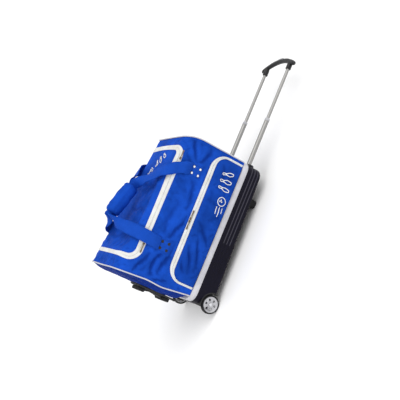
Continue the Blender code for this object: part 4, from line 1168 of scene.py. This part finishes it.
def carry_loop(side_name, side):
    """Strap loop with folded edges and stitching, and its half of the padded grip."""
    count = 150
    stations = strap_stations()
    values = smooth_path([(*c, *(w.normalized()), h) for c, w, h in stations], count)
    flip = np.array([1.0, -side, 1.0])
    columns = np.linspace(-1, 1, 11)
    rows = []
    uvs = []
    run = 0.0
    lines = {k: ([], []) for k in (-0.86, 0.86)}
    for k, row in enumerate(values):
        centre, width, half = row[:3], row[3:6] / np.linalg.norm(row[3:6]), row[6]
        along = values[min(k + 1, count - 1)][:3] - values[max(k - 1, 0)][:3]
        along /= np.linalg.norm(along)
        normal = np.cross(along, width)
        normal /= np.linalg.norm(normal)
        if normal[1] > 0 and abs(normal[1]) > abs(normal[2]) or normal[2] < 0 and abs(normal[2]) >= abs(normal[1]):
            normal = -normal
        run += 0.004
        crimp = 0.0020 * math.sin(k * 0.21) + 0.0010 * math.sin(k * 0.53 + 1)
        line = []
        for c in columns:
            bow = (0.0022 * (1 - c * c) - 0.0004) * (1 + 0.4 * math.sin(k * 0.17))
            line.append((centre + width * half * c + normal * (bow + crimp * c * 0.5)) * flip)
            uvs.append((run, c * half))
        rows.append(line)
        for c, (path, normals) in lines.items():
            path.append((centre + width * half * c + normal * (0.0011 + crimp * c * 0.5)) * flip)
            normals.append(normal * flip)
    strap = Shape().grid(rows, 0, uvs=uvs)
    obj = strap.build(side_name + "_strap_webbing", [STRAP], side_name + "_loop", side_name + "_strap", "webbing",
                      sheet=True)
    face_out(obj)
    solid = obj.modifiers.new("webbing_thickness", "SOLIDIFY")
    solid.thickness = 0.0024
    solid.offset = 0.0
    stitches = Shape()
    for path, normals in lines.values():
        stitch_row(stitches, np.array(path), np.array(normals), 0.003, 0.0046, 0.00036)
    stitches.build(side_name + "_strap_stitches", [BLUE_THREAD], side_name + "_loop", slot="webbing")

    low, high = GRIP_AXIS[1], GRIP_AXIS[0]
    along = (high - low).normalized()
    length = (high - low).length
    up = along.cross(Vector((0, 1, 0))).normalized()
    if up.z < 0:
        up = -up
    out = Vector((0, side, 0))
    flap_edge = 0.15 if side < 0 else -0.30

    def skin(share, angle, lift=0.0):
        """A point of the padded sleeve: drawn-in ends, a soft pinch by each, and a folded-over flap."""
        end = min(share, 1 - share) * length
        size = 1 - 0.30 * math.exp(-end / 0.0050) - 0.05 * math.exp(-((end - 0.018) / 0.004) ** 2)
        size *= 1 + 0.025 * math.sin(share * 17 + side) + 0.02 * math.sin(3 * angle + share * 9)
        flap = 0.0016 / (1 + math.exp(-(angle - flap_edge) / 0.035))
        reach = Vector((math.cos(angle) * GRIP_WIDE, math.sin(angle) * GRIP_TALL)) * size
        direction = (out * max(reach.x, 0) + up * reach.y)
        return low + along * (length * share) + out * 0.0006 + direction + direction.normalized() * (flap + lift)

    rings = []
    for k in range(49):
        share = k / 48
        ring = [skin(share, -math.pi / 2 + math.pi * j / 36) for j in range(37)]
        ring += [ring[-1].lerp(ring[0], j / 6) for j in range(1, 6)]
        rings.append(ring)
    pad = Shape().closed_loft(rings).build(side_name + "_grip_pad", [FABRIC], side_name + "_loop",
                                           side_name + "_grip_half", "fabric", sharp=50)
    seams = Shape()
    for angle in (flap_edge + 0.16, flap_edge - 1.0):
        shares = [0.05 + 0.90 * k / 59 for k in range(60)]
        path = [skin(share, angle, 0.0003) for share in shares]
        outward = [(out * math.cos(angle) + up * math.sin(angle)) for _ in shares]
        stitch_row(seams, np.array([tuple(p) for p in path]), np.array([tuple(n) for n in outward]), 0.003, 0.0046,
                   0.0004)
    seams.build(side_name + "_grip_stitches", [BLUE_THREAD], side_name + "_loop", slot="webbing")


def strap_anchor(side_name, side, place, x):
    """Strap end sewn with a crossed box and held by four domed rivets on washers."""
    node = "strap_anchor_" + side_name + "_" + place
    low, high = bag_box(node)
    out = Vector((0, side, 0))
    face = side * HALF_W
    shape = Shape()
    columns = np.linspace(-1, 1, 9)
    rows = []
    for k in range(13):
        share = k / 12
        z = low.z + (high.z + 0.002 - low.z) * share
        lift = 0.0020 + 0.0006 * math.sin(share * math.pi)
        rows.append([(x + c * STRAP_W / 2, face + side * (lift + 0.0004 * (1 - c * c)), z) for c in columns])
    shape.grid(rows, 0)
    patch = shape.build(node + "_patch", [STRAP], "shell", node, "webbing", sheet=True)
    face_out(patch)
    solid = patch.modifiers.new("webbing_thickness", "SOLIDIFY")
    solid.thickness = 0.0018
    solid.offset = -1.0
    stitches = Shape()
    w, h = STRAP_W / 2 - 0.003, (high.z - low.z) / 2 - 0.003
    mid_z = (low.z + high.z) / 2
    box_path = [(-w, -h), (w, -h), (w, h), (-w, h), (-w, -h)]
    for line in (box_path, [(-w, -h), (w, h)], [(-w, h), (w, -h)]):
        path = np.array([(x + a, face + side * 0.0027, mid_z + b) for a, b in resample(line, 60)])
        stitch_row(stitches, path, np.tile(np.array(tuple(out)), (60, 1)), 0.0026, 0.0040, 0.0004)
    stitches.build(node + "_stitches", [BLUE_THREAD], "shell", slot="webbing")
    light = place == "handle_end"
    rivets = Shape()
    for i, dx in enumerate((-0.012, 0.012)):
        for j, dz in enumerate((-0.013, 0.013)):
            base = Vector((x + dx, face + side * 0.0022, ANCHOR_Z + dz))
            rivets.lathe([(0.0, 0.0), (0.0056, 0.0), (0.0056, 0.0004), (0.0050, 0.0007), (0.0, 0.0007)], base, out, 24, 1)
            dome = [(0.0042 * math.cos(a), 0.0007 + 0.0020 * math.sin(a)) for a in (math.pi / 2 * k / 6 for k in range(7))]
            rivets.lathe([(0.0042, 0.0003)] + dome, base, out, 24, 0)
    rivets.build(node + "_rivets", [RIVET_LIGHT if light else BLACK_PLASTIC, BLACK_PLASTIC], "shell", slot="steel")


# ---------------------------------------------------------------- hard base
def tray_bottom(x):
    share = (x - tray_low.x) / (tray_high.x - tray_low.x)
    return tray_low.z + 0.016 * share


def rim_ring(half_x, half_y, radius, level, steps=10):
    """A rounded rectangle at a height, or at a height that follows X, always with the same number of points."""
    corners = [(half_x, half_y), (-half_x, half_y), (-half_x, -half_y), (half_x, -half_y)]
    flat = rounded(corners, [radius] * 4, steps)
    dense = []
    for i, (a, b) in enumerate(zip(flat, flat[1:] + flat[:1])):
        corner, place = divmod(i, steps + 1)
        pieces = 1
        if place == steps:
            pieces = 40 if corner % 2 == 0 else 18
        dense += [a.lerp(b, k / pieces) for k in range(pieces)]
    height = level if callable(level) else (lambda x: level)
    return [(p.x, p.y, height(p.x)) for p in dense]


TRAY_CORNER_R = 0.035
GROOVE_HIGHLIGHT_X = -0.04                        # painted highlight: the grooves' lower slopes are lighter from the handle end to here
GROOVE_LEVELS = (0.056, 0.069, 0.082)
GROOVE_HALF_H = 0.0020
GROOVE_DEPTH = 0.0017


def tray():
    """Moulded tray with three long grooves that die out towards the wheel end."""
    half_x = (tray_high.x - tray_low.x) / 2
    half_y = (tray_high.y - tray_low.y) / 2

    def ring(inset, level):
        return rim_ring(half_x - inset, half_y - inset, max(TRAY_CORNER_R - inset, 0.004), level)

    def above_bottom(lift):
        return lambda x: tray_bottom(x) + lift

    def grooved(level, cut):
        """The wall's ring at a level, sunk by a groove that fades out towards the wheels."""
        out = []
        for x, y, z in ring(0.0, level):
            inset = GROOVE_DEPTH * cut * min(max((x + 0.19) / 0.10, 0.0), 1.0)
            away = Vector(((x / half_x) ** 7, (y / half_y) ** 7)).normalized()
            out.append((x - away.x * inset, y - away.y * inset, z))
        return out

    foot = ((0.0300, 0.0), (0.0120, 0.0), (0.0085, 0.0008), (0.0052, 0.0024), (0.0026, 0.0050), (0.0008, 0.0085),
            (0.0, 0.0125))
    wall = [ring(inset, above_bottom(lift)) for inset, lift in foot]
    shape = Shape()
    for middle in GROOVE_LEVELS:
        for step, cut in ((-1.7, 0.0), (-1.3, 0.0), (0.0, 1.0), (0.5, 1.0), (1.0, 0.0), (1.7, 0.0)):
            wall.append(grooved(middle + step * GROOVE_HALF_H, cut))
    wall += [ring(inset, level) for inset, level in ((0.0, 0.0935), (-0.0010, 0.0945), (-0.0010, 0.0995),
                                                     (0.0002, 0.1000))]
    inside = [ring(0.0028, 0.1000), ring(0.0032, 0.0960), ring(0.0034, above_bottom(0.014)),
              ring(0.0080, above_bottom(0.0042)), ring(0.0300, above_bottom(0.0034))]
    shape.closed_loft(wall + inside)
    count = len(wall[0])
    # Painted highlight: the lower slope of each groove takes the lighter plastic towards the handle end.
    for k in range(len(GROOVE_LEVELS)):
        lower_slope = (len(foot) + 6 * k + 1) * count
        for i in range(lower_slope, lower_slope + count):
            x = shape.verts[shape.faces[i][0]][0]
            shape.slots[i] = 1 if x > GROOVE_HIGHLIGHT_X else 0
    obj = shape.build("moulded_tray", [TRAY_PLASTIC, GROOVE_HIGHLIGHT_PLASTIC], "shell", "base_tray", "tray", sharp=32)
    cutters = []
    wheel_x = (tyre_low.x + tyre_high.x) / 2
    for _, side in SIDES:
        cutters.append(Shape().lathe([(0.0432, -0.02), (0.0432, 0.02)],
                                     (wheel_x, side * 0.1235, tyre_high.z / 2), (0, 1, 0), 56))
        cutters.append(Shape().lathe([(0.0107, -0.03), (0.0107, 0.03)], (half_x, side * TUBE_Y, TUBE_Z), (1, 0, 0), 32))
    cut_with(obj, cutters)


def cut_with(obj, shapes):
    """Cut closed shapes out of an object, and apply the cuts."""
    for k, shape in enumerate(shapes):
        cutter = shape.build("cutter_%d" % k, [BLACK_PLASTIC], "shell")
        mod = obj.modifiers.new("cut", "BOOLEAN")
        mod.operation = "DIFFERENCE"
        mod.solver = "EXACT"
        mod.object = cutter
        graph = bpy.context.evaluated_depsgraph_get()
        mesh = bpy.data.meshes.new_from_object(obj.evaluated_get(graph))
        obj.modifiers.remove(mod)
        obj.data = mesh
        bpy.data.objects.remove(cutter)
    obj.data.shade_smooth()
    obj.data.set_sharp_from_angle(angle=math.radians(32))


def rim_band():
    """Padded white welt round the seam between fabric and tray, stitched near both edges."""
    half_x = (band_high.x - band_low.x) / 2 - 0.0012
    half_y = (band_high.y - band_low.y) / 2 - 0.0012
    low, tall = band_low.z, band_high.z - band_low.z
    rows = []
    for k in range(13):
        share = k / 12
        puff = 0.0018 * math.sin(share * math.pi) ** 0.5
        pinch = 0.0007 * (math.exp(-((share - 0.14) / 0.05) ** 2) + math.exp(-((share - 0.86) / 0.05) ** 2))
        rows.append(rim_ring(half_x + puff - pinch, half_y + puff - pinch, TRAY_CORNER_R, low + tall * share))
    for inset, share in ((0.010, 1.0), (0.010, 0.0), (0.0, 0.0)):
        rows.append(rim_ring(half_x - inset, half_y - inset, TRAY_CORNER_R, low + tall * share))
    shape = Shape().grid(rows, 0, wrap=True)
    shape.uvs = [(v[0] + v[1], v[2]) for v in shape.verts]
    shape.build("rim_welt", [WELT], "shell", "rim_band", "white_trim", sharp=60)
    stitches = Shape()
    for share in (0.14, 0.86):
        ring = rim_ring(half_x + 0.0010, half_y + 0.0010, TRAY_CORNER_R, low + tall * share)
        path = np.array(ring + ring[:1])
        flat_x, flat_y = half_x - TRAY_CORNER_R, half_y - TRAY_CORNER_R
        away = path - np.stack([np.clip(path[:, 0], -flat_x, flat_x), np.clip(path[:, 1], -flat_y, flat_y),
                                path[:, 2]], -1)
        away /= np.maximum(np.linalg.norm(away, axis=1, keepdims=True), 1e-9)
        stitch_row(stitches, path, away, 0.0030, 0.0052, 0.0004)
    stitches.build("rim_welt_stitches", [THREAD], "shell", slot="white_trim")


def knob_feet():
    """Stepped rubber feet with a grip ring and a screw recess."""
    for side_name, side in SIDES:
        low, high = bag_box("base_foot_" + side_name)
        mid = (low + high) / 2
        r = (high.x - low.x) / 2
        h = high.z
        profile = [(0.0, 0.0025), (0.0045, 0.0025), (0.0052, 0.0), (r * 0.74, 0.0), (r * 0.82, 0.0012),
                   (r * 0.85, 0.004), (r * 0.85, 0.009), (r * 0.79, 0.0105), (r * 0.79, 0.0125), (r * 0.87, 0.014),
                   (r * 0.92, 0.024), (r * 0.99, 0.0285), (r, h - 0.001), (r * 0.97, h), (0.0, h)]
        Shape().lathe(profile, (mid.x, mid.y, 0.0), (0, 0, 1), 48).build(
            "knob_foot_" + side_name, [RUBBER], "shell", "base_foot_" + side_name, "rubber")


def stand():
    """Stand plate with a bowed bar between two ribbed feet, and four screws."""
    back, front = plate_high.x, plate_low.x
    tall = plate_high.z - plate_low.z
    lower, upper = bag_box("stand_foot_lower"), bag_box("stand_foot_upper")
    rings = []
    for k in range(27):
        z = plate_low.z + tall * k / 26
        end = min(k, 26 - k) / 26 * tall
        width = plate_high.y * (1 - 0.30 * math.exp(-end / 0.006)) * (1 - 0.16 * math.exp(-((z - 0.212) / 0.030) ** 2))
        lip = (back + front) / 2
        rings.append([(back, -width, z), (back, width, z), (lip, width, z), (front, width * 0.93, z),
                      (front, -width * 0.93, z), (lip, -width, z)])
    plate = Shape().closed_loft(rings)
    for y in (-0.022, 0.0, 0.022):
        bar = []
        for k in range(17):
            z = lower[1].z - 0.002 + (upper[0].z - lower[1].z + 0.004) * k / 16
            reach = 0.0100 - 0.0060 * math.sin(k / 16 * math.pi)
            bar.append([(front + 0.001, y - 0.004, z), (front + 0.001, y + 0.004, z),
                        (front - reach, y + 0.003, z), (front - reach, y - 0.003, z)])
        plate.closed_loft(bar)
    screw = [(0.0, 0.0), (0.0040, 0.0), (0.0038, 0.0012), (0.0026, 0.0019), (0.0012, 0.0020), (0.0010, 0.0012),
             (0.0, 0.0012)]
    for y in (-0.026, 0.026):
        for z in (plate_low.z + 0.012, plate_high.z - 0.008):
            plate.lathe(screw, (front + 0.0004, y, z), (-1, 0, 0), 20)
    plate.build("stand_plate_moulding", [BLACK_PLASTIC], "shell", "stand_plate", "black_plastic")
    for name, (low, high) in (("stand_foot_upper", upper), ("stand_foot_lower", lower)):
        shape = Shape().block(low, high, 0.0030, 0, 3)
        for k in range(5):
            z = low.z + (high.z - low.z) * (k + 0.5) / 5
            shape.block((low.x - 0.0006, low.y + 0.006, z - 0.0008), (low.x + 0.001, high.y - 0.006, z + 0.0008),
                        0.0004, 0, 1)
        shape.build(name + "_pad", [RUBBER], "shell", name, "rubber")


# ---------------------------------------------------------------- wheels
HUB_WINDOWS = 6


def wheels():
    """Fender, moulded hub with round windows and grooved tyre on each side."""
    for side_name, side in SIDES:
        low, high = bag_box("tyre_" + side_name)
        centre = Vector(((low.x + high.x) / 2, 0, (low.z + high.z) / 2))
        r = (high.x - low.x) / 2
        inner_y, outer_y = sorted((abs(low.y), abs(high.y)))
        w = outer_y - inner_y
        hub = bag_box("hub_" + side_name)
        rim = (hub[1].x - hub[0].x) / 2 + 0.0004
        body = "wheel_" + side_name
        out = Vector((0, side, 0))

        def at(y):
            return centre + Vector((0, side * y, 0))

        def around(angle, radius, lift=0.0):
            return at(outer_y) + Vector((math.cos(angle), 0, math.sin(angle))) * radius + out * lift

        edge = [(r - 0.0035, 0.0), (r - 0.0012, 0.0012), (r - 0.0002, 0.0034), (r, 0.0046)]
        groove = [(r, w / 2 - 0.0016), (r - 0.0011, w / 2 - 0.0010)]
        half = [(rim, 0.0005)] + edge + groove
        profile = half + [(radius, w - y) for radius, y in reversed(half)]
        Shape().lathe(profile, at(inner_y), out, 72, closed=True).build(
            "tyre_tread_" + side_name, [RUBBER], body, "tyre_" + side_name, "tyre")

        depth = w - 0.002
        disc = Shape()
        ring = [(rim - 0.0006, 0.0), (rim - 0.0006, -depth), (rim - 0.0045, -depth), (rim * 0.74, -0.0035),
                (rim * 0.74, -0.0022), (rim * 0.80, -0.0012), (rim - 0.0030, -0.0006), (rim - 0.0016, 0.0)]
        disc.lathe(ring, at(outer_y), out, 72, closed=True)
        boss = [(0.0082, -depth), (0.0122, -depth), (rim * 0.44, -0.0035), (rim * 0.44, -0.0020), (0.0118, -0.0010),
                (0.0112, -0.0002), (0.0096, -0.0002), (0.0090, -0.0012), (0.0082, -0.0014)]
        disc.lathe(boss, at(outer_y), out, 56, closed=True)
        steps = 16
        for k in range(HUB_WINDOWS):
            first = math.tau * (k - 0.30) / HUB_WINDOWS
            rings = []
            for j in range(steps + 1):
                angle = first + math.tau * 0.60 / HUB_WINDOWS * j / steps
                flare = (abs(2 * j / steps - 1)) ** 3
                inner_r, outer_r = rim * (0.43 + 0.02 * (1 - flare)), rim * 0.75
                rings.append([around(angle, inner_r, -0.0080), around(angle, inner_r, -0.0026),
                              around(angle, outer_r, -0.0022), around(angle, outer_r, -0.0080)])
            disc.closed_loft(rings)
        disc.build("moulded_hub_" + side_name, [HUB_PLASTIC], body, "hub_" + side_name, "hub")

        axle = Shape().lathe([(0.0, 0.0), (0.0037, 0.0), (0.0037, -0.0330), (0.0, -0.0330)], at(0.1364), out, 24)
        cap = [(0.0, 0.0022), (0.0030, 0.0021), (0.0052, 0.0016), (0.0062, 0.0008), (0.0064, 0.0), (0.0, 0.0)]
        axle.lathe(cap, at(0.1358), out, 36)
        axle.build("axle_pin_" + side_name, [STEEL], "shell", "axle_" + side_name, "steel")

        house = bag_box("wheel_housing_" + side_name)
        limit_x = house[0].x
        arch = []
        section = ((0.0424, 0.1045), (0.0424, 0.1370), (0.0434, 0.1376), (0.0434, 0.1390), (0.0396, 0.1390),
                   (0.0386, 0.1376), (0.0386, 0.1072), (0.0060, 0.1072), (0.0060, 0.1045))
        for k in range(41):
            angle = math.radians(-10 + 210 * k / 40)
            line = [at(y) + Vector((math.cos(angle) * radius, 0, math.sin(angle) * radius)) for radius, y in section]
            arch.append([Vector((max(p.x, limit_x), p.y, max(p.z, 0.0262))) for p in line])
        Shape().closed_loft(arch).build("fender_" + side_name, [BLACK_PLASTIC], "shell", "wheel_housing_" + side_name,
                                        "black_plastic")


# ---------------------------------------------------------------- trolley handle
def tube_profile(outer, inner, length, chamfer=0.0005):
    return [(inner, chamfer), (inner + chamfer, 0.0), (outer - chamfer, 0.0), (outer, chamfer), (outer, length - chamfer),
            (outer - chamfer, length), (inner + chamfer, length), (inner, length - chamfer)]


BUTTON_GAP = 0.0005
BUTTON_TRAVEL = 0.0046


def trolley():
    """Drawn tubes with stage collars, a bowed grip with a soft cover, and a release button."""
    for side_name, side in SIDES:
        for node, body, name in (("stage_tube_", "handle_lower", "stage_tube_wall_"), ("upper_tube_", "handle_upper", "upper_tube_wall_")):
            low, high = bag_box(node + side_name)
            radius = (high.z - low.z) / 2
            wall = 0.0016 if "upper" in node else 0.0018
            shape = Shape().lathe(tube_profile(radius, radius - wall, high.x - low.x), (low.x, side * TUBE_Y, TUBE_Z),
                                  (1, 0, 0), 40, closed=True)
            if "stage" in node:
                for x in (0.3205, high.x - 0.012):
                    base = Vector((x, side * TUBE_Y - radius * 0.975, TUBE_Z))
                    shape.lathe([(0.0, 0.0), (0.0019, 0.0), (0.0018, 0.00012), (0.0, 0.00020)], base, (0, -1, 0), 20, 1)
            shape.build(name + side_name, [ALUMINIUM, BLACK_PLASTIC], body, node + side_name, "aluminium")
        low, high = bag_box("stage_collar_" + side_name)
        radius = (high.z - low.z) / 2
        length = high.x - low.x
        profile = [(0.0068, 0.0), (radius - 0.0006, 0.0), (radius, 0.0008), (radius, 0.0040), (radius - 0.0006, 0.0046),
                   (radius - 0.0006, 0.0062), (radius, 0.0068), (radius - 0.0004, length - 0.0022), (radius - 0.0022, length), (0.0068, length)]
        collar = Shape().lathe(profile, (low.x, side * TUBE_Y, TUBE_Z), (1, 0, 0), 40, closed=True)
        collar.build("stage_collar_ring_" + side_name, [HUB_PLASTIC], "handle_lower", "stage_collar_" + side_name, "black_plastic")

    low, high = bag_box("handle_bezel")
    half_y = high.y
    mid_z = (low.z + high.z) / 2
    half_z = (high.z - low.z) / 2
    outline = rounded([(half_y, half_z), (-half_y, half_z), (-half_y, -half_z), (half_y, -half_z)], [half_z * 0.9] * 4, 8)
    rings = []
    for x, shrink in ((low.x, 0.0), (high.x - 0.0030, 0.0), (high.x - 0.0010, 0.0008), (high.x, 0.0026)):
        rings.append([(x, p.x * (1 - shrink / half_y), mid_z + p.y * (1 - shrink / half_z)) for p in outline])
    bezel = Shape().closed_loft(rings).build("handle_bezel_moulding", [BLACK_PLASTIC], "shell", "handle_bezel", "black_plastic")
    cut_with(bezel, [Shape().lathe([(0.0093, -0.02), (0.0093, 0.02)], (high.x, side * TUBE_Y, TUBE_Z), (1, 0, 0), 40)
                     for _, side in SIDES])

    crest = grip_high.x
    bar_r = 0.0090
    end_y = grip_high.y
    end_x = 0.703
    rise = crest - bar_r - end_x
    grip = Shape()
    rings = []
    steps = 64
    for k in range(steps + 1):
        share = 2 * k / steps - 1
        y = end_y * share
        x = end_x + rise * (1 - share * share)
        lean = math.atan2(-2 * rise * share / end_y, 1.0)
        end = (1 - abs(share)) * end_y
        size = bar_r * (1 - 0.55 * math.exp(-end / 0.0030))
        cover = abs(y) < 0.066
        size *= 1.0 if cover else 0.93
        size *= 1 - (0.05 if cover and int((y + 0.066) / 0.0044) % 2 else 0.0)
        ring = []
        for j in range(24):
            a = math.tau * j / 24
            across = math.copysign(abs(math.cos(a)) ** 0.85, math.cos(a)) * size * 1.06
            ring.append((x + across * math.cos(lean), y - across * math.sin(lean), TUBE_Z + math.sin(a) * size))
        rings.append(ring)
    grip.closed_loft(rings)
    sockets = Shape()
    for _, side in SIDES:
        base = Vector((grip_low.x, side * TUBE_Y, TUBE_Z))
        length = 0.0290
        profile = [(0.0067, 0.0), (0.0098, 0.0), (0.0104, 0.0008), (0.0104, 0.0060), (0.0098, 0.0068), (0.0098, 0.0080), (0.0104, 0.0088),
                   (0.0100, length * 0.75), (0.0088, length), (0.0, length), (0.0, 0.016), (0.0067, 0.016)]
        sockets.lathe(profile, base, (1, 0, 0), 32)
    sockets.build("grip_sockets", [BLACK_PLASTIC], "handle_upper", slot="black_plastic")
    bowed = grip.build("bowed_grip", [BLACK_PLASTIC], "handle_upper", "handle_grip", "black_plastic", sharp=50)
    low, high = bag_box("release_button")
    gap = Vector((0.0, BUTTON_GAP, BUTTON_GAP))
    cut_with(bowed, [Shape().block(low - gap - Vector((BUTTON_TRAVEL, 0, 0)), high + gap + Vector((0.004, 0, 0)),
                                   0.0010, 0, 2)])
    button = Shape().block(low, high, 0.0016, 0, 3)
    for k in range(5):
        y = low.y + (high.y - low.y) * (k + 1) / 6
        button.block((high.x - 0.0006, y - 0.0010, low.z + 0.0022), (high.x + 0.0004, y + 0.0010, high.z - 0.0022), 0.0003, 0, 1)
    button.build("release_button_cap", [HUB_PLASTIC], "button", "release_button", "hub")


def inner_parts():
    """Finishes of the CAD pieces that show as they are."""
    finishes = {"ball_cup": FOAM, "guide_tube": ALUMINIUM, "guide_bracket": BLACK_PLASTIC, "bearing": STEEL, "push_rod": STEEL}
    for node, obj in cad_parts.items():
        for start, mat in finishes.items():
            if node.startswith(start):
                obj.data.materials.clear()
                obj.data.materials.append(mat)


# ---------------------------------------------------------------- stage, light and camera
def stage():
    floor_mesh = bpy.data.meshes.new("floor")
    size = 60.0
    floor_mesh.from_pydata([(-size, -size, -0.0004), (size, -size, -0.0004), (size, size, -0.0004), (-size, size, -0.0004)],
                           [], [(0, 1, 2, 3)])
    floor = bpy.data.objects.new("floor", floor_mesh)
    bpy.context.scene.collection.objects.link(floor)
    look = Look("floor_paper", (0.96, 0.96, 0.96), 0.9, specular=0.05)
    floor_mesh.materials.append(look.mat)
    world = bpy.data.worlds.new("studio")
    world.use_nodes = True
    world.node_tree.nodes["Background"].inputs["Color"].default_value = (1.0, 1.0, 1.0, 1.0)
    world.node_tree.nodes["Background"].inputs["Strength"].default_value = WORLD_LIGHT
    bpy.context.scene.world = world
    bpy.context.scene.view_settings.view_transform = "Standard"


WORLD_LIGHT = 0.92
SUN_LIGHT = 1.05
SUN_FROM = Vector((0.70, -0.60, 1.10))
SUN_SPREAD = math.radians(50.0)
SHEEN_PANEL = ((-1.3, -1.6, 1.9), 1.0, 10.0)


def lights():
    """One broad lamp from the handle side, and a small panel that draws highlights on folds and tubes."""
    light = bpy.data.lights.new("key", "SUN")
    light.energy = SUN_LIGHT
    light.angle = SUN_SPREAD
    lamp = bpy.data.objects.new("key", light)
    bpy.context.scene.collection.objects.link(lamp)
    lamp.rotation_euler = (-SUN_FROM).to_track_quat("-Z", "Y").to_euler()
    place, size, power = SHEEN_PANEL
    panel = bpy.data.lights.new("panel", "AREA")
    panel.energy = power
    panel.size = size
    lamp = bpy.data.objects.new("panel", panel)
    bpy.context.scene.collection.objects.link(lamp)
    lamp.location = Vector(place) + ORIGIN
    lamp.rotation_euler = (Vector((0.0, 0.0, 0.2)) - Vector(place)).to_track_quat("-Z", "Y").to_euler()


def camera():
    """The camera looks at the bag's near side from a little above, rolled so that the bag seems to stand."""
    azimuth, elevation, roll = math.radians(-10.4986), math.radians(23.2798), math.radians(-63.1155)
    distance = 2.1341
    aim = Vector((0.0014, -0.4881, 0.3847))
    back = Vector((math.sin(azimuth) * math.cos(elevation), -math.cos(azimuth) * math.cos(elevation), math.sin(elevation)))
    right = Vector((0, 0, 1)).cross(back).normalized()
    up = back.cross(right)
    right_rolled = right * math.cos(roll) + up * math.sin(roll)
    up_rolled = up * math.cos(roll) - right * math.sin(roll)
    data = bpy.data.cameras.new("camera")
    data.sensor_width = 36.0
    data.lens = 64.30
    data.clip_end = 200.0
    lens = bpy.data.objects.new("camera", data)
    bpy.context.scene.collection.objects.link(lens)
    turn = Matrix((right_rolled, up_rolled, back)).transposed().to_4x4()
    lens.matrix_world = Matrix.Translation(aim + back * distance + ORIGIN) @ turn
    bpy.context.scene.camera = lens


camera()
stage()
lights()
upper_cloth()
end_panel("end_panel_wheel_end", 0.0, -1)
end_panel("end_panel_handle_end", 1.0, 1)
piping("welt_cord_wheel_end", 0.0, "piping_wheel_end")
piping("welt_cord_handle_end", 1.0, "piping_handle_end")
lid_zip()
pocket()
for slider_end, slider_toward in (("lid_handle_end", 1), ("lid_wheel_end", -1), ("pocket_handle_side", 1), ("pocket_wheel_side", -1)):
    slider(slider_end, slider_toward)
for loop_name, loop_side in SIDES:
    carry_loop(loop_name, loop_side)
    for anchor_place, anchor_x in ANCHORS.items():
        strap_anchor(loop_name, loop_side, anchor_place, anchor_x)
tray()
rim_band()
knob_feet()
stand()
wheels()
trolley()
inner_parts()

bpy.context.view_layer.update()
